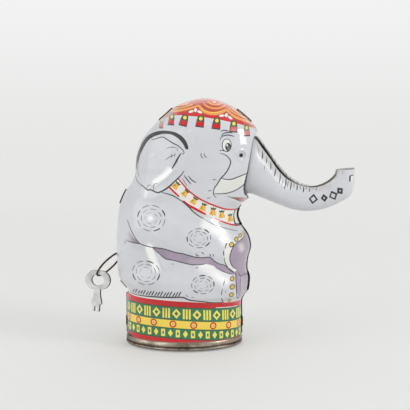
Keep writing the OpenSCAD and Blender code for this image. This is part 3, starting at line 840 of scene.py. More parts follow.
def inside_tin():
    """Dull bare tin, dimmed by painted shade from the mesh's own colour where it lies deep inside."""
    if "dull_inside" in bpy.data.materials:
        return bpy.data.materials["dull_inside"]
    material, net, shader, marks = new_finish("dull_inside", (50.0, 0.2, 0.2))
    plate = net.mix(marks["Blotches"], tone(196, 193, 186), tone(160, 154, 144))
    depth = net.add("ShaderNodeAttribute", attribute_name="ink")
    net.join(net.mix(1.0, plate, depth.outputs["Color"], "MULTIPLY"), shader.inputs["Base Color"])
    net.join(net.spread(marks["Blotches"], 0, 1, 0.42, 0.6), shader.inputs["Roughness"])
    shader.inputs["Metallic"].default_value = 0.4
    bump(net, shader, marks["Height"], 0.15, 0.0002)
    return material


def seam_tin():
    """Dark, tarnished tin of the folded seam."""
    material = bare_metal("seam_tin", tone(62, 54, 48), tone(26, 22, 20), 0.5, (260.0, 0.8, 0.4), 0.2)
    material.node_tree.nodes["Principled BSDF"].inputs["Specular IOR Level"].default_value = 0.15
    return material


def zinc():
    return bare_metal("spangled_zinc", tone(238, 239, 238), tone(206, 208, 206), 0.3, (220.0, 0.6, 0.2), 0.8)


def ring_wire():
    return bare_metal("ring_wire", tone(104, 88, 74), tone(46, 38, 32), 0.36, (300.0, 0.5, 0.5))


def axle_steel():
    return bare_metal("axle_steel", tone(84, 80, 76), tone(36, 34, 33), 0.35, (300.0, 0.5, 0.4))


# Geometry node trees


def sweep_tree():
    """Sweeps a round wire along the object's own edges. Start is its first radius as a share of the last."""
    name = "Swept wire"
    if name in bpy.data.node_groups:
        return bpy.data.node_groups[name]
    net, given, out = node_group(
        name, "GeometryNodeTree",
        [("Path", "NodeSocketGeometry"), ("Radius", "NodeSocketFloat"),
         ("Start", "NodeSocketFloat"), ("Sides", "NodeSocketInt"),
         ("Finish", "NodeSocketMaterial")], [("Wire", "NodeSocketGeometry")])
    share = net.add("GeometryNodeSplineParameter")
    taper = net.add("ShaderNodeMapRange")
    size = net.add("GeometryNodeSetCurveRadius")
    profile = net.add("GeometryNodeCurvePrimitiveCircle")
    sweep = net.add("GeometryNodeCurveToMesh")
    sweep.inputs["Fill Caps"].default_value = True
    paint = net.add("GeometryNodeSetMaterial")
    net.chain(given, net.add("GeometryNodeMeshToCurve"), size, sweep, net.add("GeometryNodeSetShadeSmooth"),
              net.add("GeometryNodeRealizeInstances"), paint, out)
    net.join(given.outputs["Radius"], profile.inputs["Radius"])
    net.join(given.outputs["Sides"], profile.inputs["Resolution"])
    net.join(share.outputs["Factor"], taper.inputs["Value"])
    net.join(given.outputs["Start"], taper.inputs["To Min"])
    net.join(taper.outputs["Result"], size.inputs["Radius"])
    net.join(taper.outputs["Result"], sweep.inputs["Scale"])
    net.join(profile.outputs["Curve"], sweep.inputs["Profile Curve"])
    net.join(given.outputs["Finish"], paint.inputs["Material"])
    return net.tree


def strip_tree():
    """Folds a flat strip of tin over the seam along the object's own edges, its width across the seam."""
    name = "Seam strip"
    if name in bpy.data.node_groups:
        return bpy.data.node_groups[name]
    net, given, out = node_group(
        name, "GeometryNodeTree",
        [("Path", "NodeSocketGeometry"), ("Width", "NodeSocketFloat"),
         ("Thickness", "NodeSocketFloat"), ("Curl", "NodeSocketFloat"),
         ("Middle", "NodeSocketFloat"), ("Finish", "NodeSocketMaterial")],
        [("Strip", "NodeSocketGeometry")])
    level = net.add("GeometryNodeSetCurveNormal", mode="FREE")
    level.inputs["Normal"].default_value = (0, 1, 0)
    out_way = net.add("ShaderNodeVectorMath", operation="CROSS_PRODUCT")
    out_way.inputs[1].default_value = (0, 1, 0)
    keep = net.add("GeometryNodeCaptureAttribute")
    keep.capture_items.new("VECTOR", "Out")
    profile = net.add("GeometryNodeCurvePrimitiveQuadrilateral")
    finer = net.add("GeometryNodeSubdivideCurve", Cuts=5)
    sweep = net.add("GeometryNodeCurveToMesh")
    sweep.inputs["Fill Caps"].default_value = True
    apart = net.add("ShaderNodeSeparateXYZ")
    bend = net.math("MULTIPLY", apart.outputs["Y"], apart.outputs["Y"])
    push = net.add("ShaderNodeVectorMath", operation="SCALE")
    shift = net.add("ShaderNodeCombineXYZ")
    move, curl = net.add("GeometryNodeSetPosition"), net.add("GeometryNodeSetPosition")
    paint = net.add("GeometryNodeSetMaterial")
    net.chain(given, net.add("GeometryNodeMeshToCurve"), level, keep, sweep, move, curl,
              net.add("GeometryNodeRealizeInstances"), paint, out)
    net.chain(net.add("GeometryNodeInputTangent"), out_way)
    net.join(out_way.outputs["Vector"], keep.inputs["Out"])
    net.join(given.outputs["Width"], profile.inputs["Width"])
    net.join(given.outputs["Thickness"], profile.inputs["Height"])
    net.chain(profile, finer)
    net.join(finer.outputs["Curve"], sweep.inputs["Profile Curve"])
    net.join(given.outputs["Middle"], shift.inputs["Y"])
    net.join(shift.outputs["Vector"], move.inputs["Offset"])
    net.chain(net.add("GeometryNodeInputPosition"), apart)
    net.join(keep.outputs["Out"], push.inputs[0])
    net.join(net.math("MULTIPLY", bend, given.outputs["Curl"]), push.inputs["Scale"])
    net.join(push.outputs["Vector"], curl.inputs["Offset"])
    net.join(given.outputs["Finish"], paint.inputs["Material"])
    return net.tree


def made_plain(piece, tree, values):
    """Runs a geometry node tree on a piece and keeps the result as its plain mesh."""
    modifier = piece.modifiers.new("Build", "NODES")
    modifier.node_group = tree
    for item in tree.interface.items_tree:
        if item.item_type == "SOCKET" and item.in_out == "INPUT" and item.name in values:
            modifier[item.identifier] = values[item.name]
    bpy.context.view_layer.update()
    ready = piece.evaluated_get(bpy.context.evaluated_depsgraph_get())
    mesh = bpy.data.meshes.new_from_object(ready)
    piece.modifiers.remove(modifier)
    piece.data = mesh
    mesh.name = piece.name
    return piece


def path_piece(name, chains, closed=False):
    """An object whose mesh is one or more chains of edges, for a tree to work on."""
    mesh = bpy.data.meshes.new(name)
    points, edges = [], []
    for chain in chains:
        at, count = len(points), len(chain)
        edges += [(at + i, at + i + 1) for i in range(count - 1)]
        if closed:
            edges.append((at + count - 1, at))
        points += [(Vector(p) * MM)[:] for p in chain]
    mesh.from_pydata(points, edges, [])
    piece = bpy.data.objects.new(name, mesh)
    bpy.context.scene.collection.objects.link(piece)
    return piece


def swept(name, chains, radius, finish, closed=False, sides=16, start=1.0):
    piece = path_piece(name, chains, closed)
    return made_plain(piece, sweep_tree(), {"Radius": radius * MM, "Start": start, "Sides": sides,
                                             "Finish": finish})


def mesh_piece(name, points, faces, finish, sharp=35):
    """A closed mesh in millimetres, smooth except over sharp edges, its faces made to point outwards."""
    mesh = bpy.data.meshes.new(name)
    mesh.from_pydata([tuple(c * MM for c in p) for p in points], [], faces)
    piece = bpy.data.objects.new(name, mesh)
    bpy.context.scene.collection.objects.link(piece)
    tidy = bmesh.new()
    tidy.from_mesh(mesh)
    bmesh.ops.remove_doubles(tidy, verts=tidy.verts, dist=1e-7)
    bmesh.ops.recalc_face_normals(tidy, faces=tidy.faces)
    tidy.to_mesh(mesh)
    tidy.free()
    mesh.shade_smooth()
    mesh.set_sharp_from_angle(angle=math.radians(sharp))
    mesh.materials.append(finish)
    return piece


def turned(name, profile, place, finish, count=48):
    """Turns a closed profile of [radius, height] about the Z axis and puts it in place."""
    sections = []
    for k in range(count):
        a = 2 * math.pi * k / count
        sections.append([place @ Vector((r * math.cos(a), r * math.sin(a), h)) for r, h in profile])
    return loop_sweep(name, sections, finish)


def loop_sweep(name, sections, finish, sharp=35):
    """A closed band from sections that all have the same number of points."""
    n, count = len(sections[0]), len(sections)
    points = [p for section in sections for p in section]
    faces = []
    for here in range(0, n * count, n):
        there = (here + n) % (n * count)
        faces += [(here + i, here + (i + 1) % n, there + (i + 1) % n, there + i) for i in range(n)]
    return mesh_piece(name, points, faces, finish, sharp)


# Where the ring's chord between its two slots lies, how many degrees the ring hangs down, and its wire
RING_HINGE, RING_DROP = (-34.9, 0, 45.2), 47
RING_R, WIRE_R = 8.4, 0.5
SLOTS_APART = 10
RING_REACH = math.sqrt(RING_R ** 2 - (SLOTS_APART / 2) ** 2)
# The middles of the slots, as a distance from the seam and a height
NEAR_SLOT, FAR_SLOT = (2.9, 45.95), (5.45, 43.6)


def place_ring():
    """Where the ring hangs: it turns on the chord that joins the two slots of the back."""
    drop, lean = math.radians(-RING_DROP), math.radians(-16)
    return (Matrix.Translation(RING_HINGE) @ Matrix.Rotation(drop, 4, "Y") @ Matrix.Rotation(lean, 4, "X")
            @ Matrix.Translation((-RING_REACH, 0, 0)))


def place_key():
    """Where the key hangs: by the hole of its bow, on the far end of the ring."""
    far = RING_REACH + RING_R
    drop = math.radians(RING_DROP)
    end = Vector(RING_HINGE) - far * Vector((math.cos(drop), 0, math.sin(drop)))
    hang = KEY_HOLE_R - WIRE_R - 0.15
    return (Matrix.Translation(end) @ Matrix.Rotation(math.radians(4), 4, "Y")
            @ Matrix.Translation((0, 0, -hang)) @ Matrix.Rotation(math.radians(90), 4, "X"))


# The art of the body, in the side view's x and z unless it says round the drum


def drum_drop(x):
    """How far the drum's print sits above its mean height, by the place along the drum."""
    return 0.474 - 0.055 * x - 0.00104 * x * x


def drum_bands(body):
    """Stripes and friezes round the drum, which drop a little towards the front, with a painted highlight on
    the red band and painted shade at the foot.
    """

    def line(z, count=60):
        share = np.linspace(0, 1, count)
        x = -DRUM_X * np.cos(np.pi * share)
        return np.stack([share, np.maximum(z + drum_drop(x), 1)], 1)

    def band(low, high, ink):
        return body.wrap(np.concatenate([line(low), line(high)[::-1]])), ink

    # Painted shade: a dark band at the drum's foot, where it meets the rim's top edge.
    foot = body.wrap(np.concatenate([[(s, 0.5) for s in np.linspace(0, 1, 60)],
                                     [(s, 4.75) for s in np.linspace(1, 0, 60)]]))
    # Painted highlight: a pale line on the red band just above the green one, towards the front.
    gleam = body.wrap(np.concatenate([line(22.15)[42:54], line(22.55)[42:54][::-1]]))
    # Painted shadow: a black wedge at the back of the drum's foot, in the gap above the rim.
    corner = body.wrap([(0, 4), (0.15, 4), (0.15, 4.8), (0.11, 5.6), (0.03, 6.4), (0, 6.4)])
    return [band(-2, 25.2, "red"), band(5.6, 22.1, "leaf"), band(6.0, 21.7, "green"),
            band(10.8, 15.4, "leaf"), band(11.15, 15.05, "yellow"), band(25.2, 25.8, "white"),
            (foot, "mouth"), (gleam, "tusk"), (corner, "ink")]


def drum_motifs(body):
    """Lozenges and bars on the green bands and a row of circles on the yellow one, evenly spaced."""
    round_half = body.way[-1]

    def spot(share, z, points, ink):
        x = -DRUM_X * math.cos(math.pi * share)
        return body.wrap([(share + px / round_half, z + drum_drop(x) + pz) for px, pz in points]), ink

    def lozenge(share, z, w, h, ink):
        return spot(share, z, [(-w, 0), (0, -h), (w, 0), (0, h)], ink)

    def bar(share, z, w, h, ink):
        return spot(share, z, [(-w, -h), (w, -h), (w, h), (-w, h)], ink)

    art = []
    for k in range(16):
        share = (k + 0.5) / 16
        if k % 2:
            art += [lozenge(share, 18.55, 2.6, 2.95, "leaf"), lozenge(share, 18.55, 2.3, 2.6, "lemon"),
                    lozenge(share, 18.55, 1.0, 1.15, "leaf"), lozenge(share, 18.55, 0.65, 0.75, "green")]
        else:
            for off in (-1.5, 0, 1.5):
                art += [bar(share + off / round_half, 18.55, 0.68, 2.75, "leaf"),
                        bar(share + off / round_half, 18.55, 0.5, 2.55, "lemon")]
    for k in range(22):
        share = (k + 0.5) / 22
        if k % 2:
            art += [lozenge(share, 8.4, 1.6, 2.25, "leaf"), lozenge(share, 8.4, 1.32, 1.95, "lemon")]
        else:
            art += [bar(share, 8.4, 1.3, 2.1, "leaf"), bar(share, 8.4, 1.08, 1.88, "lemon"),
                    bar(share, 8.4, 0.42, 0.75, "green")]
    for k in range(1, 9):
        for r, ink in ((1.85, "rust"), (1.15, "peach"), (0.55, "amber")):
            art.append(spot(body.share(20 * k + 1.6), 13.1, oval((0, 0), r, r, ink)[0], ink))
    return art


def slot_painted_shadow(body):
    """Painted shadow of the trunk's slot: a dark line up its edge, a black corner at its foot and a dark
    patch at its top.
    """
    z = np.linspace(77.5, 108.5, 90)
    s = np.interp(z, body.z, body.s)
    wide = np.interp(z, [77.5, 84, 90, 100, 108.5], [4.0, 3.4, 1.8, 0.9, 0.5])
    edge = body.turn(s)
    line = np.concatenate([body.flat(s, edge), body.flat(s, edge - wide)[::-1]])
    corner = body.side([(31.4, 78.6), (32, 78.9), (34.9, 79.3), (35, 75.6), (32.6, 75.2)])
    above = np.array([BROW - 0.25, BROW - 0.25, BROW + 0.5, BROW + 0.5])
    top = body.flat(above, np.array([180, 176, 177.5, 180]))
    return [(line, "line"), (corner, "ink"), (top, "line")]


def throat_tab_painted_shading(body):
    """Painted shadow and highlight of the tab that laps the necklace of the right half: a dark edge round a
    pale field.
    """
    edge = [(31, 70.6), (26.7, 70.3), (25.9, 69), (25.6, 66.8), (25.9, 64.4), (26.8, 62.5), (31, 62)]
    field = [(31, 69.8), (27.1, 69.6), (26.5, 68.6), (26.2, 66.8), (26.5, 64.8), (27.2, 63.3), (31, 62.9)]
    return [(body.side(smooth(points, 0.5, closed=True)), ink)
            for points, ink in ((edge, "line"), (field, "white"))]


def ear_art():
    """The ear's heavy upper rim, its fold, its lower edge and the hairs in it."""
    arc = [(-24.8, 90), (-24.4, 94.5), (-23.2, 98.7), (-21.5, 102.6), (-19.5, 105.9), (-17, 108.2),
           (-13.8, 109.6), (-10.4, 110.3), (-7, 110.2), (-3.6, 109.6), (-0.7, 108.2), (1.8, 105.8),
           (3.3, 102.6), (3.2, 101.1), (2.0, 101.3), (1.0, 103.3), (-0.4, 105.1), (-2.2, 106.8),
           (-5, 108.3), (-7.9, 108.7), (-10.9, 108.4), (-14.2, 107.3), (-17.1, 105.4), (-19.2, 102.5),
           (-21.2, 98.6), (-22.7, 94.8), (-24, 90.4)]
    return [
        shape(arc, "line"),
        stroke([(-24.8, 91), (-24.5, 88), (-23.6, 85.6), (-22.2, 84), (-20.4, 83)], 0.35, "grey"),
        stroke([(-21.4, 99), (-22.4, 95), (-22.9, 90.5), (-22.2, 87)], 0.3, "grey"),
        stroke([(-21.2, 83.4), (-19.2, 82.2), (-17.2, 80.8), (-15.6, 81), (-14.3, 80.5), (-12.2, 79.7),
                (-10.6, 80), (-8.3, 81.2), (-5.8, 83), (-4, 84.7), (-2, 86.6), (0, 88.6), (1.3, 90.6)],
               0.62, "line"),
        stroke([(-17.3, 81), (-17.5, 82.2), (-16.7, 83.2), (-15.6, 83.2)], 0.3, "grey"),
        stroke([(-13.9, 80.8), (-14.2, 82.6), (-13.4, 83.8), (-12, 84.4)], 0.35, "grey"),
        stroke([(-15.5, 105.8), (-12.7, 106.3), (-10.4, 107.1), (-8.8, 106.9), (-7.8, 106.3), (-5.9, 105.1),
                (-4.1, 104.1), (-2.1, 103.1), (-0.6, 101.9), (0.6, 100.8), (1.3, 99.6), (0.8, 98.7),
                (0.1, 99.5)],
               0.42, "line"),
        stroke([(-0.2, 99.2), (-1.7, 96.9), (-3, 94.4), (-4.7, 91.6)], 0.68, "line"),
        stroke([(-7.7, 101.3), (-6.5, 101.9), (-5.3, 102.2), (-2.3, 101.9)], 0.3, "grey"),
        stroke([(-8.1, 95.7), (-6.2, 97.2), (-4.6, 97.9), (-3.1, 98.4)], 0.35, "grey"),
        stroke([(-4.6, 97), (-4.9, 98), (-4.7, 99)], 0.3, "grey"),
        stroke([(-3.2, 97.3), (-3.4, 98.4), (-3, 99.4)], 0.3, "grey"),
        stroke([(-1.6, 100.1), (-2.2, 101), (-2, 101.8)], 0.3, "grey"),
    ]


def face_art():
    """Tusk, mouth, cheek and eye, and the creases round them."""
    tusk = [(19.7, 86.9), (22, 86.3), (25, 86.3), (28.3, 87.4), (31, 88.4), (32.6, 88.9), (32.8, 87.4),
            (32.4, 85.6), (31.2, 83.7), (28.8, 81.7), (25.8, 80.2), (22.5, 79.3), (19.2, 79.1),
            (16.2, 79.2), (16.2, 81.2), (17.6, 84.1)]
    eye = (22.3, 103.1)
    return [
        shape(tusk, "tusk"),
        stroke([(19.6, 87.1), (22, 86.3), (25, 86.3), (28.3, 87.4), (31, 88.4), (33, 89)],
               0.42, "line", 0.6),
        stroke([(16, 79.2), (19.2, 79.1), (22.5, 79.3), (25.8, 80.2), (28.8, 81.7), (31.2, 83.7),
                (32.6, 85.8)],
               0.4, "line", 0.6),
        stroke([(19, 99.2), (21, 98.7), (22.9, 97.4), (24.1, 95.6), (24.1, 93.9), (23.1, 91.4), (21.5, 89),
                (19.5, 86.9), (17.8, 84.2), (16.3, 82), (15.8, 79.8), (16.2, 78.2), (17.2, 77.1)],
               0.48, "line"),
        shape([(22.6, 77.7), (25, 77.2), (28, 76.9), (31, 76.6), (34.5, 76.2), (34, 74.6), (31.5, 74.2),
               (29.6, 74.4), (28, 75.2), (25.3, 76.5)], "mouth"),
        stroke([(22.4, 77.8), (25.3, 76.8), (28, 75.3), (30, 74.4)], 0.3, "brown"),
        oval(eye, 2.45, 3.3, "line", count=28),
        oval((22.3, 103.15), 2.05, 2.9, "white", count=28),
        oval((23.0, 102.3), 1.45, 2.0, "line", count=24),
        oval((23.3, 101.6), 0.75, 0.95, "grey", count=16),
        oval((22.5, 103.1), 0.45, 0.6, "white", count=14),
        stroke([(19.3, 109.8), (20.2, 110.4), (21.4, 110.5), (23.4, 110)], 0.4, "line"),
        stroke([(19.6, 107.6), (20.8, 109), (23, 109.4), (24.3, 109.3), (25.3, 109)], 0.42, "line"),
        stroke([(18.9, 105.6), (19.9, 107.3), (22, 108.1), (24.5, 107.9), (26, 107.3)], 0.42, "line"),
        stroke([(18.6, 100.4), (19.9, 100.7), (21.4, 100.2)], 0.3, "line"),
        stroke([(9.8, 99.4), (9.7, 97.9), (10.9, 96.6)], 0.32, "line"),
        stroke([(11.2, 99.3), (11.3, 98.2), (12.5, 97)], 0.32, "line"),
        stroke([(15.3, 86.2), (17.2, 86.2)], 0.45, "grey"),
        stroke([(13.1, 80.6), (14.9, 80.8)], 0.45, "grey"),
        stroke([(12.4, 77), (14.4, 77.1)], 0.4, "grey"),
        stroke([(0.4, 87), (1.8, 84.6), (2.8, 83.2)], 0.32, "grey"),
        stroke([(1.2, 88.5), (2.7, 86.4), (4.8, 84)], 0.42, "line"),
        stroke([(3.3, 88.2), (5, 86.2), (7.4, 84.6)], 0.42, "line"),
    ]


def laid(points, x, z, lean, size=1):
    """Points of a motif, widened by size, turned by lean degrees and put at x, z."""
    c, s = math.cos(math.radians(lean)), math.sin(math.radians(lean))
    return [(x + size * c * px - s * pz, z + size * s * px + c * pz) for px, pz in points]


def cap_art(body):
    """The cap's ground, its scallops and petals, and the tassels that hang from it."""
    border = [(-14, 115.4), (-11.2, 116.6), (-7.6, 118), (-4, 118.8), (-0.6, 118.8), (2.4, 118.5),
              (6.3, 118.2), (10.5, 117.8), (14.8, 117.2), (18.7, 116.6), (22.9, 115.7), (26.3, 115),
              (31.1, 113.8), (35, 112.7), (38, 112)]
    line = body.side(smooth(border, 0.8))
    line[0, 0], line[-1, 0] = 0, 90
    top = body.rise[-1]
    art = [(np.concatenate([line, [(90, top), (0, top)]]), "cap")]
    art.append((body.side(stroke(border, 1.3, "red", 1)[0]), "red"))
    side = [
        stroke([(8.2, 122.9), (9.6, 120.9), (11.9, 119.3), (15.2, 118.6), (18.7, 119), (21, 120),
                (22, 120.9)],
               1.0, "orange", 0.7),
        stroke([(9, 122.6), (10, 121.2), (12.2, 119.9), (15.2, 119.3), (18.5, 119.7), (21.2, 121)],
               0.3, "yellow"),
        stroke([(10.4, 123.9), (12.8, 122.2), (15.7, 121.4), (19, 121.6), (21.4, 123)], 0.6, "orange", 0.7),
        stroke([(12.6, 124.7), (14.4, 123.6), (16.3, 123.3), (18.3, 123.6), (19.8, 124.4)],
               0.5, "orange", 0.7),
        stroke([(-13, 121.5), (-9, 120.9), (-5.5, 120.2), (-3.3, 120.2), (-0.6, 120.5), (3.2, 121.3),
                (6.1, 122.1), (8.2, 123)], 0.9, "orange", 0.7),
        stroke([(-6, 121.7), (-3.2, 121.5), (1.2, 122.3), (5, 123.4)], 0.6, "orange", 0.7),
        stroke([(-3.5, 122.7), (0, 123.2), (2.6, 124)], 0.45, "orange", 0.7),
        stroke([(22, 120.8), (23.9, 119), (25.7, 117.6), (28.2, 116.4), (31, 115.4), (36, 113.6)],
               0.9, "orange", 0.7),
        stroke([(22.6, 121.8), (24.4, 120.3), (26.7, 118.8), (29.6, 117.5), (34, 116)], 0.55, "orange", 0.7),
        stroke([(24.6, 121.9), (26.4, 120.4), (28.6, 119.2), (31, 118.6)], 0.45, "orange", 0.7),
        # Painted highlights on the cap.
        oval((15.9, 124.6), 0.9, 0.35, "peach"),
        oval((27.2, 121.2), 0.7, 0.4, "peach"),
    ]
    for x, z, tilt in ((6.6, 119.9, -3), (21.9, 117.4, -14)):
        for petal, rx, rz, lean in (((-2.1, -0.2), 1.35, 0.6, 18), ((2.1, -0.2), 1.35, 0.6, -18),
                                    ((0, 0.6), 0.7, 1.0, 0)):
            side.append(oval(laid([petal], x, z, tilt)[0], rx, rz, "white", tilt + lean, 14))
        for dot in laid([(-1, 0.9), (1, 0.9), (-0.9, -0.3), (0.9, -0.3)], x, z, tilt):
            side.append(oval(dot, 0.3, 0.25, "mouth", 0, 8))
    tassels = [(-10.6, 115.7, 0.5, -2), (-5.4, 117.3, 0.8, -4), (1.4, 116.8, 1, -14), (9.4, 116.3, 1, -8),
               (17.4, 115.3, 1, -8), (25.8, 113.8, 0.95, -4), (32.2, 111.8, 0.72, 2)]
    for x, z, wide, lean in tassels:

        def lay(points):
            return laid(points, x, z, lean, wide)

        side += [straight(lay([(-2.15, -4.4), (2.15, -4.4), (1.95, -1.0), (-1.95, -1.0)]), "line"),
                 straight(lay([(-1.8, -3.75), (1.8, -3.75), (1.65, -1.0), (-1.65, -1.0)]), "red"),
                 shape(lay([(-1.6, -1.4), (1.6, -1.4), (1.7, 0.1), (1.1, 1.4), (-1.1, 1.4), (-1.7, 0.1)]),
                       "leaf", 0.5),
                 oval(lay([(0, -0.05)])[0], 0.92 * wide, 0.95, "yellow", 0, 12)]
    art += [(body.side(points), ink) for points, ink in side]
    for k in range(9):
        share = 8 + 18 * (k + 0.5)
        ring, _ = oval((0, 0), 1.6, 0.8, "amber", count=14)
        art.append((ring + [share / 2, top - 1.6], "amber"))
    art.append((crossing(0, 90, top - 3.6, top - 3.1), "yellow"))
    return art


def necklace_art():
    """The white necklace between its red cords, with its bells."""
    high = [(-1.6, 86.6), (0.5, 84.2), (2.8, 81.5), (5.6, 79.1), (8.8, 76.8), (12.2, 75), (15.9, 73.3),
            (19.8, 71.7), (23, 70.8), (26.5, 70.4), (32, 70.4)]
    low = [(-6.1, 82.5), (-3.9, 80.2), (-1.2, 77.8), (0.8, 75.8), (3.5, 73.6), (6.5, 71.9), (9.4, 70.3),
           (12.1, 68.9), (16.4, 66.7), (20.6, 64.8), (24.1, 63.3), (28.9, 61.9), (34, 61.4)]
    band = np.concatenate([smooth(high), smooth(low)[::-1]])
    art = [
        (band, "white"),
        stroke(high, 0.62, "red", 0.8),
        # The lower cord breaks twice; the white band in the gaps paints highlights on it.
        stroke(low[:3], 0.7, "red", 0.9),
        stroke(low[3:8], 0.95, "red", 0.5),
        stroke(low[8:], 0.55, "red", 0.6),
        stroke([(-0.6, 76.2), (1.1, 74.8), (3.7, 72.6), (5.7, 70.5), (8.3, 68.5), (11, 66.9)], 0.5, "line"),
        # Painted shadow under the necklace.
        stroke([(11, 66.9), (16, 64), (21.5, 61.8), (28, 59.6)], 0.3, "grey"),
    ]
    bells = [(-2.8, 83.1, 42), (1.7, 79.4, 42), (6.1, 75.6, 34), (10.7, 72.4, 20), (15.5, 70, 8),
             (19.9, 68.4, 0), (24.1, 66.2, -2), (27.6, 65.2, -4)]
    for n, (x, z, lean) in enumerate(bells):
        narrow = 1 if n < 6 else 0.85

        def lay(points):
            return np.array(laid(points, 0, 0, -lean)) * [narrow, 1] + [x, z]

        for dx, dz in ((0, 1.5), (-1.5, 1.1), (1.5, 1.1), (-1.1, 0.2), (1.1, 0.2)):
            far = math.hypot(dx, dz)
            wx, wz = 0.42 * dz / far, -0.42 * dx / far
            art.append(shape(lay([(0.45 * dx + wx, 1 + 0.45 * dz + wz), (dx, 1 + dz),
                                  (0.45 * dx - wx, 1 + 0.45 * dz - wz), (0, 0.9)]), "leaf", 0.5))
        art += [shape(lay([(-1.65, -1.6), (-1.35, -0.3), (-0.95, 0.8), (0, 1.2), (0.95, 0.8), (1.35, -0.3),
                           (1.65, -1.6), (0.6, -1.5), (0, -1.9), (-0.6, -1.5)]), "amber", 0.5),
                stroke(lay([(-0.5, 0.4), (-0.75, -1.0)]), 0.25, "brown"),
                stroke(lay([(0.4, 0.5), (0.55, -0.9)]), 0.25, "yellow")]
    return art


def rosette(x, z, rx, rz, turn):
    """Three dashed rings round a spot."""
    art = []
    for share, dashes, gap, width, ink in ((1, 8, 0.24, 0.38, "grey"), (0.72, 7, 0.28, 0.32, "soft"),
                                           (0.44, 5, 0.3, 0.26, "pale")):
        for k in range(dashes):
            start = 2 * math.pi * (k + turn * (1 + share)) / dashes
            a = start + np.linspace(0, 2 * math.pi * (1 - gap) / dashes, 6)
            wide = width * (1.3 if (k * 5) % 3 == 0 else 0.9)
            dark = "line" if share == 1 and k % 3 == 0 else ink
            dash = np.stack([x + share * rx * np.cos(a), z + share * rz * np.sin(a)], 1)
            art.append(stroke(dash, wide, dark))
    return art


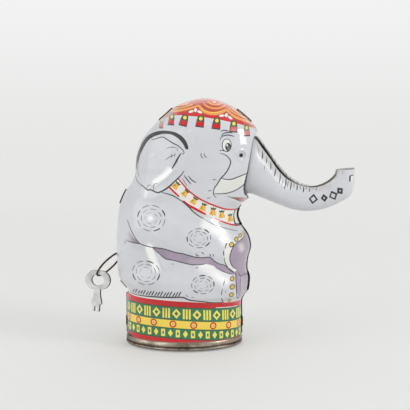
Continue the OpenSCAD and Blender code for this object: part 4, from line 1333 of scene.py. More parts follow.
def limb_art():
    """Folds, cuff and sole, toenails, rosettes and the fringe over the drum."""
    fold_top = [(-13.2, 52.6), (-9.6, 52.3), (-6.3, 51.5), (-2.6, 50.4), (1.2, 49.8), (5.1, 48.6),
                (7.4, 48.1), (10.1, 47.8), (14.2, 48), (16.2, 46.1), (18.6, 44.4), (21.1, 43.6),
                (23.4, 41.6), (26.2, 39.2)]
    fold_low = [(26.4, 38.6), (23.4, 39.2), (19.1, 41.3), (16.4, 43.2), (12, 44.6), (8.7, 44.2),
                (4.6, 44.4), (0.7, 45.3), (-4, 46.5), (-7.8, 47.2), (-11.1, 49.8), (-14.1, 52.3)]
    cuff = [(24.2, 56.6), (22.7, 55.1), (21.7, 52.3), (21.3, 49.6), (21.5, 46.6), (22.3, 43.4),
            (23.9, 40.8), (26.2, 39)]
    sole = [(31.2, 57.2), (30.2, 55.9), (26.7, 53.8), (24.8, 50.8), (24, 47.3), (24.4, 44.3), (25.8, 41.8),
            (27.8, 40.4)]
    art = [
        (np.concatenate([smooth(fold_top), smooth(fold_low)]), "mauve"),
        straight([(-26.6, 60.2), (-24.3, 57.1), (-22.4, 55.5), (-20.6, 54.1), (-23.5, 54.3), (-28, 54.6),
                  (-28.5, 58)], "mauve"),
        (np.concatenate([smooth(cuff[1:]), smooth(sole)[::-1]]), "white"),
        (np.concatenate([smooth(sole), [(30, 39.6), (36, 40.4), (36, 50), (36, 58)]]), "mauve"),
        (np.array([(26.6, 39.4), (27.1, 34.8), (27.4, 29.8), (27.8, 24.4), (36, 24.4), (36, 32), (36, 41.4),
                   (28.4, 41.2)]), "mauve"),
        stroke([(-27.6, 65.5), (-26.3, 62.3), (-24.4, 58.6), (-22.4, 55.8), (-20.5, 54.1), (-16.9, 53.1),
                (-13.2, 52.6)] + fold_top[1:], 0.42, "line", 0.5),
        stroke([(-27.4, 55.0), (-24, 54.4), (-20.5, 54.1)], 0.4, "line"),
        stroke(fold_low[4:], 0.38, "line", 0.5),
        stroke([(16.4, 43.2), (19.1, 41.2), (23.4, 39.1), (26.6, 38.2)], 0.3, "line"),
        stroke(sole, 0.36, "line", 0.5),
        stroke([(21.3, 47.6), (21.4, 45.6), (22.3, 43.3), (23.9, 40.8), (26.2, 39), (27.4, 38.6)],
               0.36, "line"),
        stroke([(22.8, 55.2), (22, 53.6), (21.7, 52)], 0.4, "line"),
        stroke([(21, 51), (20.9, 49.6), (21.1, 48.4)], 0.45, "line"),
        stroke([(7.3, 50.1), (7.6, 49.2), (9, 48.6)], 0.36, "line"),
        stroke([(10.1, 50.8), (11.3, 49.6)], 0.36, "line"),
        stroke([(13.9, 49.8), (14.8, 48.4)], 0.36, "line"),
        stroke([(15.6, 49.8), (16.1, 48.2)], 0.3, "line"),
        stroke([(-5, 44.6), (-3.6, 44.6)], 0.3, "grey"),
        stroke([(7, 42.6), (8.6, 43)], 0.3, "line"),
        stroke([(27, 38.6), (27.1, 34.8), (27.4, 29.8), (27.8, 24.6)], 0.34, "line", 0.6),
        stroke([(28.6, 38.6), (29.4, 36.8), (31.4, 37.2), (32.6, 36.2)], 0.3, "line"),
        stroke([(29.6, 36.6), (29.2, 33), (29.4, 29)], 0.3, "grey"),
        stroke([(21.7, 36.8), (21.2, 35), (20.8, 33.4)], 0.32, "line"),
        stroke([(20.4, 31.8), (20, 30), (19.9, 28.6)], 0.32, "line"),
        stroke([(19.9, 27), (20.2, 25.6), (20.9, 24)], 0.36, "line"),
        stroke([(22.2, 31), (21.9, 29.4)], 0.26, "grey"),
        stroke([(-29.5, 54.8), (-28.9, 54.2), (-28.4, 53.4)], 0.26, "grey"),
        stroke([(-28.6, 55.6), (-27.9, 55.2), (-27, 55.2)], 0.26, "grey"),
    ]
    for x, z, r in ((24.8, 53.7, 1.35), (27.2, 56, 1.15), (29.2, 57.4, 0.95), (31.2, 58.3, 0.8),
                    (25.2, 36.3, 1.2), (25.3, 32.3, 1.4), (24.8, 28.2, 1.25), (23.8, 24.9, 1.0)):
        art += [oval((x, z), r, r * 1.05, "brown", count=16),
                oval((x, z), r * 0.66, r * 0.7, "gold", count=12)]
    for x, z, rx, rz, turn in ((-15, 67.1, 7, 6.2, 0.1), (8.8, 57.5, 5.8, 4.6, 0.35),
                               (-17.8, 39.8, 7, 5.9, 0.6), (10.7, 34.3, 5.5, 4.5, 0.85)):
        art += rosette(x, z, rx, rz, turn)
    for k in range(17):
        x = -24 + 1.5 * k
        top = 30.7 + 0.3 * math.sin(2.1 * k)
        art.append(stroke([(x, top), (x - 0.8, top - 1.3), (x - 1.5, 28.2)], 0.46, "line", 0.6))
    art += [
        stroke([(-29, 27.6), (-27.3, 27.2), (-24, 27.2), (-15.8, 27.6), (-6.9, 27.8), (0.6, 28), (4, 26.6),
                (9.8, 25.7), (15.8, 24.6), (21, 24.3)], 0.58, "line", 0.5),
        stroke([(2.2, 29.4), (3, 28.6), (3.6, 28.4)], 0.3, "grey"),
        stroke([(5, 28.2), (6.4, 27.8)], 0.3, "grey"),
    ]
    return art


def body_art(body):
    """All the art of a half, painted highlights and shade among it, from the lowest layer to the highest."""
    neck_fold = stroke([(-9.8, 79.8), (-6.7, 79), (-3.9, 78), (-1.6, 76.6), (-0.5, 75.7)], 0.45, "line")
    side = limb_art() + necklace_art() + [neck_fold] + ear_art() + face_art()
    return (drum_bands(body) + drum_motifs(body) + [(body.side(points), ink) for points, ink in side]
            + slot_painted_shadow(body) + cap_art(body))


# Changes of tone, some airbrushed in the print and some painted highlights, sheen and shade: an ink, a path
# in the side view, how far off it is toned, towards which ink and how strongly
BODY_SOFT = [
    ("mauve", [(-28.5, 60), (-28.4, 55.4)], 4.6, "skin", 1.0),
    ("mauve", [(-22.4, 55.4), (-20.8, 54.4)], 2.6, "line", 0.4),
    ("mouth", [(36, 76), (33, 75.4)], 6, "skin", 0.6),
    # Painted shade along the front edge of the trunk's slot.
    ("skin", [(41, 78), (40.5, 88), (40.2, 100), (38.5, 107)], 2.2, "grey", 0.25),
    # Painted highlight on the arm's sole, and painted shade at its front.
    ("mauve", [(29.6, 52.5), (30, 51)], 2.6, "white", 0.6),
    ("mauve", [(33.5, 50), (32, 44)], 3.5, "grey", 0.2),
    ("mauve", [(-15, 52), (-9, 49)], 5, "grey", 0.35),
    # Painted highlights on the fold between the legs and on the leg's sole.
    ("mauve", [(5, 46), (13, 46.5)], 3, "white", 0.15),
    ("mauve", [(30, 36), (30, 26)], 2.2, "white", 0.2),
    # Painted shade along the upper edge of the fold.
    ("skin", [(-24, 53), (-13, 51)], 3, "mauve", 0.2),
    # Painted highlights on the legs, the ear's ridge, the chest, the brow, the ear's boss, the rosette's
    # middle and the neck, and a painted glint on the head.
    ("skin", [(10.4, 43.8), (14, 42), (17.5, 39.3), (21.5, 36)], 5.0, "shine", 1.0),
    ("skin", [(-16, 52.4), (-15.2, 49.7), (-13.4, 45), (-12.4, 42.2)], 2.8, "shine", 2.0),
    ("skin", [(-13.5, 84.6), (-9.5, 87.4), (-6, 91)], 2.2, "shine", 1.5),
    ("skin", [(12, 64.2), (16, 61.6), (20.5, 58.8), (22, 55.6)], 4.2, "shine", 1.0),
    ("skin", [(29.5, 110), (31, 106.8)], 2.4, "shine", 0.3),
    ("skin", [(-14.8, 97.9), (-14.6, 98)], 1.0, "shine", 0.9),
    ("skin", [(-15.2, 66.9), (-15.3, 67)], 1.9, "shine", 1.4),
    ("skin", [(-17.6, 81), (-18.4, 77.4)], 1.2, "shine", 0.6),
    ("skin", [(3.9, 110), (4, 110)], 1.2, "tusk", 0.8),
    ("skin", [(20, 71), (30, 72)], 3, "mauve", 0.15),
# Painted sheen over the left of the cap and its tassels.
] + [(ink, [(-11, 115), (-8.5, 118.5), (-6, 121)], 5.2, "tusk", 0.55)
     for ink in ("cap", "red", "line", "leaf", "yellow", "orange")
# Painted sheen over the right of the cap and its tassels, by the brow.
] + [(ink, [(25.6, 110), (33, 109), (37, 113.5), (33, 116)], 4.2, "tusk", 0.3)
     for ink in ("cap", "red", "orange", "leaf")]


TRUNK_SOFT = [
    ("skin", [(37, 104), (46, 92), (56, 84), (66, 80), (74, 82)], 3.2, "tan", 0.3),
]


def airbrush_and_painted_light(colours, changes):
    """Returns the function that tones every corner of a printed sheet, with print fades, painted highlights,
    painted sheen and painted shade.
    """

    def tone_corners(rgb, place, keys):
        for ink, path, reach, target, strength in changes:
            near = ease(1 - from_path(place[:, 0], place[:, 2], path) / reach)
            w = np.minimum(strength * near, 1) * (keys == ink)
            rgb[:, :3] += w[:, None] * (np.array(colours[target]) - rgb[:, :3])
        return rgb

    return tone_corners


def trunk_art(trunk):
    """Wrinkles that hang from the groove's lip, a black band along the lip that paints the groove's shadow,
    and a row of lozenges near the tip.
    """

    def lip(rows, low, high, ink):
        s = np.linspace(*rows, 40)
        upper = trunk.flat(np.stack([s, np.full(40, high)], 1))
        lower = trunk.flat(np.stack([s, np.interp(s, *low)], 1))
        return np.concatenate([lower, upper[::-1]]), ink

    # Painted shadow of the groove: a black band along the lip, beside its real gap.
    art = [lip((2.6, 8.4), ((2.6, 3.2, 4.6, 6, 7, 8.4), (0.92, 0.925, 0.935, 0.945, 0.96, 0.98)),
               0.999, "ink"),
           lip((7.6, 13.4), ((7.6, 9, 12, 13.4), (0.966, 0.966, 0.97, 0.98)), 0.988, "brown")]
    wrinkles = [
        ([(37.6, 103.2), (38.2, 101), (38.4, 99.2)], 0.4, "grey"),
        ([(40.3, 99.8), (40.4, 98), (40.0, 96)], 0.6, "line"),
        ([(42.3, 97.0), (42.5, 95.5), (42.3, 93.8)], 0.4, "line"),
        ([(44.5, 94.6), (44.6, 92.6), (44.3, 90.5)], 0.48, "line"),
        ([(47.1, 91.0), (46.9, 89.4), (46.3, 87.2)], 0.5, "line"),
        ([(49.6, 88.4), (49.4, 86.3), (48.7, 83.6)], 0.46, "line"),
        ([(52.7, 86.2), (52.3, 83.6), (51.6, 80.6)], 0.5, "line"),
        ([(55.5, 84.6), (55.1, 82.4), (54.5, 80)], 0.46, "line"),
        ([(58.3, 83.2), (58.2, 81.6), (58, 79.8)], 0.44, "line"),
        ([(61.7, 82.4), (61.5, 80.6), (61.1, 78.8)], 0.48, "line"),
        ([(64.9, 81.9), (64.7, 80.4), (64.3, 79)], 0.48, "grey"),
        ([(68.4, 81.9), (68.2, 80.8), (67.8, 79.7)], 0.4, "grey"),
        ([(41.6, 92.8), (41.2, 90.5)], 0.3, "grey"),
        ([(50.9, 85), (50.2, 82.6)], 0.3, "grey"),
        ([(53.8, 84.4), (53, 81.4)], 0.34, "grey"),
        ([(56.8, 83.8), (56.5, 81)], 0.3, "grey"),
        ([(60, 82.6), (59.6, 80.3)], 0.34, "grey"),
        ([(63.3, 82), (62.8, 80)], 0.34, "grey"),
        ([(66.6, 81.8), (66.1, 80.2)], 0.3, "grey"),
        ([(72, 83), (71.6, 82)], 0.3, "grey"),
    ]
    art += [(stroke(trunk.side(line), width, ink, 0.3)[0], ink) for line, width, ink in wrinkles]
    for k, (x, z, tilt) in enumerate(((66.4, 75.4, -8), (72, 75.9, 8), (76.6, 77.2, 24), (80.1, 79.6, 40))):
        for size, ink in ((1, "line"), (0.56, "skin")) if k % 2 == 0 else ((0.8, "line"), (0.2, "skin")):
            w, h = 2.4 * size, 2.7 * size
            art.append((trunk.side(laid([(-w, 0), (0, -h), (w, 0), (0, h)], x, z, tilt)), ink))
    end = trunk.rise[-1]
    art += [(crossing(-25.6, -0.4, end - 0.3, end - 0.05), "grey"),
            stroke(trunk.side([(81.3, 90), (81.4, 88)]), 0.4, "grey", 0.6),
            (trunk.side([(84.8, 87.2), (85.6, 87.4), (85.5, 84.2), (84.6, 84.4)]), "line"),
            (trunk.side([(85.8, 87.3), (86.5, 87.3), (86.5, 84.4), (85.7, 84.2)]), "white"),
            stroke(trunk.side([(84.9, 87.6), (87.2, 87.5)]), 0.3, "grey")]
    return art


# Operators, one for each group of pieces


class Maker:
    """What the operators share."""

    bl_options = {"REGISTER"}


def chosen_inks(context):
    """The colours of the print by their keys."""
    inks = context.scene.bank_inks
    return {key: tuple(getattr(inks, key)) for key in BankInks.__annotations__}


def ring_slot(middle):
    """The outline of a slot for the ring on the back: a level oval with straight sides."""
    y, z = middle
    return [(y + math.copysign(0.8, math.cos(t)) + 1.5 * math.cos(t), z + 1.5 * math.sin(t))
            for t in np.radians(np.arange(0, 360, 15))]


def body_half(context, side):
    """One printed half of drum, body and head."""
    body = BodyHalf()
    sizes = context.scene.bank_sizes
    right = side == "right"
    holes = [body.side(round_axle(AXLE_HOLE)), body.back(ring_slot(NEAR_SLOT if right else FAR_SLOT))]
    art = body_art(body) + (throat_tab_painted_shading(body) if right else [])
    colours = chosen_inks(context)
    piece = printed_sheet(f"{side}_half_print", body, art, holes, body.fine_points(), colours,
                          not right, sizes.sheet / MM, sizes.step / MM, airbrush_and_painted_light(colours, BODY_SOFT))
    for finish in (printed_tin(), inside_tin()):
        piece.data.materials.append(finish)
    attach(piece, "bank_body")
    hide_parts(f"{side}_shell")


class BANK_OT_halves(Maker, bpy.types.Operator):
    """Make the two printed halves of drum, body and head"""

    bl_idname = "bank.halves"
    bl_label = "Printed halves"

    def execute(self, context):
        body_half(context, "right")
        body_half(context, "left")
        return {"FINISHED"}


# Seam tabs of the left half: the heights they run between, whether they are at the front, and how far they
# stand off the tin
TABS = [(8.5, 13, False, 0.5), (28.6, 32.4, False, 0.8), (72.4, 79.6, False, 0.45),
        (115.6, 121.6, False, 0.3), (8.5, 13, True, 0.5), (27.6, 36.6, True, 0.5),
        (61.6, 70.2, True, 0.5), (114.6, 121, True, 0.3)]


def raised(points, high, front):
    """Seam points moved out from the tin by a height, in the middle plane."""
    d = np.gradient(points, axis=0)
    d /= np.hypot(*d.T)[:, None]
    side = 1 if front else -1
    return [(x + side * high * dz, 0, z - side * high * dx) for (x, z), (dx, dz) in zip(points, d)]


class BANK_OT_seams(Maker, bpy.types.Operator):
    """Make the seam's folded bead and the tabs that lap the right half"""

    bl_idname = "bank.seams"
    bl_label = "Seam and tabs"

    def execute(self, context):
        body = BodyHalf()
        lap, under = context.scene.bank_sizes.tab_width, 1.1 * MM
        paths = [raised(body.seam(low, high, front), off, front) for low, high, front, off in TABS]
        tabs = made_plain(path_piece("seam_tabs", paths), strip_tree(),
                          {"Width": lap + under, "Thickness": 0.4 * MM, "Curl": -30.0,
                           "Middle": (under - lap) / 2, "Finish": seam_tin()})
        paths = [raised(body.seam(4.3, top, front), 0.12, front)
                 for top, front in ((72, True), (25.4, False))]
        bead = swept("seam_bead", paths, 0.42, seam_tin(), sides=10)
        for part in (tabs, bead):
            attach(part, "bank_body")
            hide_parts("left_shell")
        return {"FINISHED"}


def colour_hem(hem, colours):
    """The hem of the far lip shows the trunk's skin, with the ends of the wrinkles across it."""
    place = np.zeros(3 * len(hem.data.vertices), np.float32)
    hem.data.vertices.foreach_get("co", place)
    x = place.reshape(-1, 3)[:, 0] / MM
    across = np.abs(np.sin(x * 2.1 + np.sin(x)))[:, None]
    shown = np.where(across > 0.9, (*colours["tan"], 1), (*colours["skin"], 1))
    layer = hem.data.color_attributes.new("ink", "FLOAT_COLOR", "POINT")
    layer.data.foreach_set("color", shown.astype(np.float32).reshape(-1))


# Section of the eyes that the trunk's axle runs in: radius and distance from the middle plane
TRUNK_EYE = [(4.6, 11.2), (2.2, 13.9), (AXLE_HOLE, 13.9), (AXLE_HOLE, 13.6), (2.0, 13.6), (4.3, 11.0)]


class BANK_OT_trunk(Maker, bpy.types.Operator):
    """Make the two printed halves of the trunk and the eyes that turn on the axle"""

    bl_idname = "bank.trunk"
    bl_label = "Trunk"

    def execute(self, context):
        colours = chosen_inks(context)
        sheet = context.scene.bank_sizes.sheet / MM
        for side in ("right", "left"):
            left = side == "left"
            trunk = TrunkHalf(left)
            piece = printed_sheet(f"trunk_{side}_print", trunk, trunk_art(trunk),
                                  [trunk.side(round_axle(2.4))], trunk.side(round_axle(3.2)), colours,
                                  left, sheet, 0.8, airbrush_and_painted_light(colours, TRUNK_SOFT))
            for finish in (trunk_tin(), inside_tin()):
                piece.data.materials.append(finish)
            outwards = Matrix.Rotation(math.radians(-90 if left else 90), 4, "X")
            place = Matrix.Translation((PIVOT[0], 0, PIVOT[1])) @ outwards
            eye = turned(f"trunk_{side}_eye", TRUNK_EYE, place, rim_tin())
            parts = [piece, eye]
            if left:
                hem = swept("groove_hem", [trunk.far_lip()], 1.0, trunk_tin(), sides=12, start=0.5)
                colour_hem(hem, colours)
                parts.append(hem)
            for part in parts:
                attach(part, "trunk")
                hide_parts(f"trunk_{side}")
        return {"FINISHED"}


# Section of the rolled rim: distance from the middle of the drum's length, and height
RIM = [(28.75, 2.9), (28.75, 0.55), (28.9, 0.2), (29.3, 0.02), (29.9, 0.0), (30.35, 0.18), (30.55, 0.45),
       (30.6, 0.85), (30.55, 1.2), (30.35, 1.55), (30.12, 1.75), (30.1, 1.9), (30.3, 2.1), (30.48, 2.4),
       (30.5, 2.7), (30.42, 3.2), (30.32, 3.7), (30.2, 4.08), (30.1, 4.2), (30.04, 4.1), (30.04, 1.5),
       (29.5, 1.5), (29.5, 2.9)]
# By how much the drum is narrower than long, at each side
NARROWER = 7
# The trap's hinge, as x and z, and where its two knuckles on the panel lie across
TRAP_HINGE = (-13.8, 1.7)
KNUCKLES = ((-9.8, -5.8), (5.8, 9.8))


def knuckle(number, low, high):
    """A knuckle of the trap's hinge and the leaf that ties it to the panel."""
    x, z = TRAP_HINGE
    turn = Matrix.Translation((x, 0, z)) @ Matrix.Rotation(math.radians(-90), 4, "X")
    tube = turned(f"hinge_knuckle_{number}", [(1.0, low), (1.0, high), (0.52, high), (0.52, low)], turn,
                  rim_tin(), 32)
    corners = [(px, py, pz) for px in (-14.78, -14.3) for py in (low + 0.05, high - 0.05)
               for pz in (1.8, 3.1)]
    faces = [(0, 1, 3, 2), (4, 6, 7, 5), (0, 4, 5, 1), (2, 3, 7, 6), (0, 2, 6, 4), (1, 5, 7, 3)]
    return [tube, mesh_piece(f"hinge_leaf_{number}", corners, faces, rim_tin())]


class BANK_OT_base(Maker, bpy.types.Operator):
    """Make the rolled rim and the sunk panel with its doorway"""

    bl_idname = "bank.base"
    bl_label = "Rim and panel"

    def execute(self, context):
        sections = [[(r * math.cos(a), (r - NARROWER) * math.sin(a), z) for r, z in RIM]
                    for a in np.radians(np.arange(0, 360, 2.5))]
        rim = loop_sweep("rolled_rim", sections, rim_tin(), 50)
        panel = printed_sheet("base_panel", Panel(), [], [Panel.doorway()], np.zeros((0, 2)),
                              {"skin": (1, 1, 1)}, False, 0.5, 1.5)
        for _ in range(2):
            panel.data.materials.append(rim_tin())
        parts = [rim, panel]
        for number, across in enumerate(KNUCKLES, 1):
            parts += knuckle(number, *across)
        for part in parts:
            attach(part, "bank_body")
            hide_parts("base_plate")
        return {"FINISHED"}


class Panel:
    """The flat base panel seen from below, with a low oval ridge near its edge and the doorway cut out."""

    REACH_X, REACH_Y = 28.8, 21.8

    def border(self, step):
        """The oval outline, with points every 4 degrees whatever the step."""
        a = np.radians(np.arange(0, 360, 4))
        return np.stack([self.REACH_X * np.cos(a), self.REACH_Y * np.sin(a)], 1)

    @staticmethod
    def doorway():
        return np.array([(-11, -10.5), (11, -10.5), (11, 10.5), (-11, 10.5)], float)

    def place(self, uv):
        """Lower face of the tin, in millimetres."""
        x, y = uv[:, 0], -uv[:, 1]
        edge = np.hypot(x / self.REACH_X, y / self.REACH_Y)
        ridge = 0.35 * ease(1 - np.abs(edge - 0.86) / 0.06)
        return np.stack([x, y, 2.9 + ridge], 1)


class BANK_OT_lock(Maker, bpy.types.Operator):
    """Give the trap, its hinge pin, the lock and the axle their metal finishes"""

    bl_idname = "bank.lock"
    bl_label = "Trap, lock and axle"

    def execute(self, context):
        finishes = {"coin_door": rim_tin(), "door_hinge_pin": zinc(), "lock_plug": zinc(),
                    "lock_bolt": zinc(), "lock_rivet": rim_tin(), "trunk_pin": axle_steel()}
        for node, finish in finishes.items():
            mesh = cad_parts[node].data
            mesh.materials.clear()
            mesh.materials.append(finish)
        return {"FINISHED"}


class BANK_OT_ring_and_key(Maker, bpy.types.Operator):
    """Make the wire ring at the back and the key on it"""

    bl_idname = "bank.ring_and_key"
    bl_label = "Ring and key"

    def execute(self, context):
        turn = place_ring()
        circle = [turn @ Vector((RING_R * math.cos(a), RING_R * math.sin(a), 0))
                  for a in np.radians(np.arange(0, 360, 4))]
        ring = swept("wire_ring", [circle], context.scene.bank_sizes.wire / MM / 2, ring_wire(), closed=True)
        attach(ring, "ring")
        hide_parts("key_ring")
        key = flat_key("bank_key", place_key(), zinc())
        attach(key, "key")
        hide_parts("key")
        return {"FINISHED"}


# The key's length, how far the middles of the bow's round ends lie off its axis, their radius and the hole's
KEY_LENGTH, BOW_OFFSET, BOW_R, KEY_HOLE_R = 22, 1.7, 5.1, 3
KEY_THICK = 0.8


def key_outline():
    """The stamped key's outline: an oval bow, a shank and a bit with two prongs."""
    bow = []
    for side, start in ((1, -90), (-1, 90)):
        bow += [(side * BOW_OFFSET + BOW_R * math.cos(a), BOW_R * math.sin(a))
                for a in np.radians(np.arange(start, start + 181, 9))]
    foot = BOW_R - KEY_LENGTH
    shank = [(-1.95, -7), (-2.1, -8.5), (-2.9, foot + 5.2), (-2.9, foot + 3.9), (-2, foot + 3.7), (-2, foot),
             (-0.6, foot), (-0.6, foot + 2.6), (0.6, foot + 2.6), (0.6, foot), (2, foot), (2, foot + 3.7),
             (2.9, foot + 3.9), (2.9, foot + 5.2), (2.1, -8.5), (1.95, -7), (1.9, -4.9)]
    neck_half = 1.95
    return [p for p in bow if not (abs(p[0]) < neck_half and p[1] < 0)] + [(-1.9, -4.9)] + shank


def worn_edges(loops):
    """The key's edge points on the right, drawn in as a worn punch leaves them, by their rounded places."""
    drawn = {}
    for loop, away in loops:
        for k, (x, y) in enumerate(loop):
            along = (Vector(loop[(k + 1) % len(loop)]) - Vector(loop[k - 1])).normalized()
            out_x, out_y = along.y * away, -along.x * away
            lean = 0.5 * max(0, out_x)
            drawn[round(x, 3), round(y, 3)] = (x - lean * out_x, y - lean * out_y)
    return drawn


def flat_key(name, turn, finish):
    """The key with rounded edges, those on the right sloping."""
    outline = key_outline()
    hole = [(KEY_HOLE_R * math.cos(a), KEY_HOLE_R * math.sin(a)) for a in np.radians(np.arange(0, 360, 10))]
    flat = [Vector(p) for p in outline + hole]
    n = len(outline)
    found, _, triangles, _, _, origins = delaunay_2d_cdt(
        flat, [], [list(range(n)), list(range(n, len(flat)))], 1, 1e-5, True)
    kept = [t for t, origin in zip(triangles, origins) if 0 in origin and 1 not in origin]
    used = sorted({v for t in kept for v in t})
    spot = {v: k for k, v in enumerate(used)}
    count = len(used)
    drawn = worn_edges(((outline, 1), (hole, -1)))
    front = [drawn.get((round(found[v][0], 3), round(found[v][1], 3)), tuple(found[v])) for v in used]
    points = ([turn @ Vector((*p, KEY_THICK / 2)) for p in front]
              + [turn @ Vector((found[v][0], found[v][1], -KEY_THICK / 2)) for v in used])
    top = [tuple(spot[v] for v in t) for t in kept]
    edges = {(t[i], t[(i + 1) % 3]) for t in top for i in range(3)}
    walls = [(b, a, a + count, b + count) for a, b in edges if (b, a) not in edges]
    faces = top + [tuple(v + count for v in reversed(t)) for t in top] + walls
    key = mesh_piece(name, points, faces, finish, 40)
    key.data.materials.append(bare_metal("zinc_edge", tone(96, 98, 98), tone(60, 62, 62), 0.45,
                                         (220.0, 0.6, 0.2)))
    for face in key.data.polygons[2 * len(top):]:
        face.material_index = 1
    bevel = key.modifiers.new("Rounded edges", "BEVEL")
    bevel.width = 0.12 * MM
    bevel.segments = 3
    bevel.limit_method = "ANGLE"
    bevel.angle_limit = math.radians(50)
    return key


def paper_finish(settings):
    """Matt paper with a faint grain, which glows to the camera far off so that the floor has no horizon, and
    a third as much near the bank as painted light over its shadow.
    """
    paper = bpy.data.materials.new("paper")
    paper.use_nodes = True
    net = Net(paper.node_tree)
    shader = paper.node_tree.nodes["Principled BSDF"]
    place = net.add("ShaderNodeTexCoord").outputs["Object"]
    grain = net.noise(place, 500, 2)
    base = tuple(settings.paper)
    net.join(net.mix(grain, base, tuple(c * 0.985 for c in base)), shader.inputs["Base Color"])
    shader.inputs["Roughness"].default_value = 0.9
    shader.inputs["Specular IOR Level"].default_value = 0.1
    apart = net.add("ShaderNodeSeparateXYZ")
    net.join(place, apart.inputs[0])
    far = net.add("ShaderNodeVectorMath", operation="LENGTH")
    net.join(place, far.inputs[0])
    glow = net.add("ShaderNodeEmission", Strength=1.0)
    net.join(net.mix(net.spread(apart.outputs["Z"], 0.0, 0.5), tuple(settings.haze), tuple(settings.sky)),
             glow.inputs["Color"])
    # Even near the bank a third of the glow shows: painted light that lifts the floor's shadow.
    seen = net.math("MULTIPLY", net.spread(far.outputs["Value"], 0.2, 1.0, 0.35, 1.0),
                    net.add("ShaderNodeLightPath").outputs["Is Camera Ray"])
    blend = net.add("ShaderNodeMixShader")
    net.join(seen, blend.inputs[0])
    net.join(shader.outputs[0], blend.inputs[1])
    net.join(glow.outputs[0], blend.inputs[2])
    net.join(blend.outputs[0], paper.node_tree.nodes["Material Output"].inputs["Surface"])
    return paper


# Section of the paper bowl in metres: distance from the middle, and height
BOWL = [(0.0, -0.0006), (0.25, -0.0006), (0.5, -0.0006), (0.8, -0.0006), (1.1, 0.0), (1.5, 0.06),
        (1.85, 0.22), (2.1, 0.5), (2.2, 0.9), (2.2, 1.6), (2.2, 2.4)]


def paper_sweep(count=96):
    """The mesh of a paper floor that rises all round into a wall."""
    line = smooth(BOWL, 0.1)
    points = [(0, 0, line[0][1])]
    for k in range(count):
        a = 2 * math.pi * k / count
        points += [(r * math.cos(a), r * math.sin(a), z) for r, z in line[1:]]
    n = len(line) - 1
    faces = []
    for k in range(count):
        here, there = 1 + k * n, 1 + (k + 1) % count * n
        faces.append((0, here, there))
        faces += [(here + i, here + i + 1, there + i + 1, there + i) for i in range(n - 1)]
    mesh = bpy.data.meshes.new("paper_sweep")
    mesh.from_pydata(points, [], faces)
    mesh.shade_smooth()
    return mesh


def soft_lamp(scene, name, place, size, watts):
    """A square lamp that looks at the middle of the bank, with place and size in metres."""
    lamp = bpy.data.lights.new(name, "AREA")
    lamp.shape = "RECTANGLE"
    lamp.size = lamp.size_y = size
    lamp.energy = watts
    holder = bpy.data.objects.new(name, lamp)
    scene.collection.objects.link(holder)
    holder.location = place
    holder.rotation_euler = (Vector((0, 0, 0.06)) - Vector(place)).to_track_quat("-Z", "Y").to_euler()


# The photograph's camera: degrees, millimetres, and pixels to a millimetre at the target in its square frame
CAMERA = {"azimuth": 2.0, "elevation": 5.5, "distance": 450.0, "scale": 1.923, "target": (10.9, 0.0, 71.6)}
FRAME_PIXELS, SENSOR = 410, 36


def photo_camera(scene):
    """The camera that stands where the photograph's did."""
    azimuth, height = math.radians(CAMERA["azimuth"]), math.radians(CAMERA["elevation"])
    back = Vector((math.sin(azimuth) * math.cos(height), -math.cos(azimuth) * math.cos(height),
                   math.sin(height)))
    right = Vector((math.cos(azimuth), math.sin(azimuth), 0))
    turn = Matrix((right, back.cross(right), back)).transposed()
    data = bpy.data.cameras.new("photo_camera")
    data.sensor_width = SENSOR
    data.lens = SENSOR * CAMERA["scale"] * CAMERA["distance"] / FRAME_PIXELS
    data.clip_start = 0.01
    holder = bpy.data.objects.new("photo_camera", data)
    scene.collection.objects.link(holder)
    place = Vector(CAMERA["target"]) * MM + back * CAMERA["distance"] * MM
    holder.matrix_world = Matrix.Translation(place) @ turn.to_4x4()
    scene.camera = holder


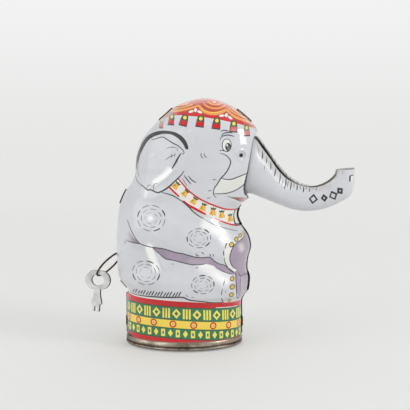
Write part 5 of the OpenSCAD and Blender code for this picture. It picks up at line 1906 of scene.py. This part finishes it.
class BANK_OT_stage(Maker, bpy.types.Operator):
    """Make the pale paper bowl, the soft lamps and the camera"""

    bl_idname = "bank.stage"
    bl_label = "Stage"

    def execute(self, context):
        scene = context.scene
        settings = scene.bank_stage
        mesh = paper_sweep()
        mesh.materials.append(paper_finish(settings))
        floor = bpy.data.objects.new("paper_sweep", mesh)
        scene.collection.objects.link(floor)
        soft_lamp(scene, "key_lamp", (1.0, -0.45, 0.56), 0.32, settings.key_power)
        soft_lamp(scene, "left_lamp", (-0.92, -0.64, 0.4), 1.0, settings.left_power)
        soft_lamp(scene, "back_lamp", (0.1, 0.9, 0.8), 0.8, settings.back_power)
        world = bpy.data.worlds.new("studio")
        world.use_nodes = True
        world.node_tree.nodes["Background"].inputs["Color"].default_value = (1, 1, 1, 1)
        world.node_tree.nodes["Background"].inputs["Strength"].default_value = 0.95
        scene.world = world
        photo_camera(scene)
        scene.view_settings.view_transform = "Standard"
        return {"FINISHED"}


class BANK_PT_parts(bpy.types.Panel):
    """Lists the pieces of the bank and their settings"""

    bl_label = "Elephant bank"
    bl_idname = "BANK_PT_parts"
    bl_space_type = "VIEW_3D"
    bl_region_type = "UI"
    bl_category = "Elephant bank"

    def draw(self, context):
        for maker in MAKERS:
            self.layout.operator(maker.bl_idname)
        for group in (context.scene.bank_inks, context.scene.bank_sizes, context.scene.bank_stage):
            box = self.layout.box()
            for key in type(group).__annotations__:
                box.prop(group, key)


MAKERS = (BANK_OT_halves, BANK_OT_seams, BANK_OT_trunk, BANK_OT_base, BANK_OT_lock, BANK_OT_ring_and_key,
          BANK_OT_stage)
SETTINGS = {"bank_inks": BankInks, "bank_sizes": BankSizes, "bank_stage": BankStage}


def register():
    for group in (*SETTINGS.values(), *MAKERS, BANK_PT_parts):
        bpy.utils.register_class(group)
    for name, group in SETTINGS.items():
        setattr(bpy.types.Scene, name, bpy.props.PointerProperty(type=group))


def unregister():
    for name in SETTINGS:
        delattr(bpy.types.Scene, name)
    for group in (BANK_PT_parts, *reversed(MAKERS), *SETTINGS.values()):
        bpy.utils.unregister_class(group)


def main():
    register()
    for maker in MAKERS:
        getattr(bpy.ops.bank, maker.bl_idname.split(".")[1])()


if __name__ == "__main__":
    main()
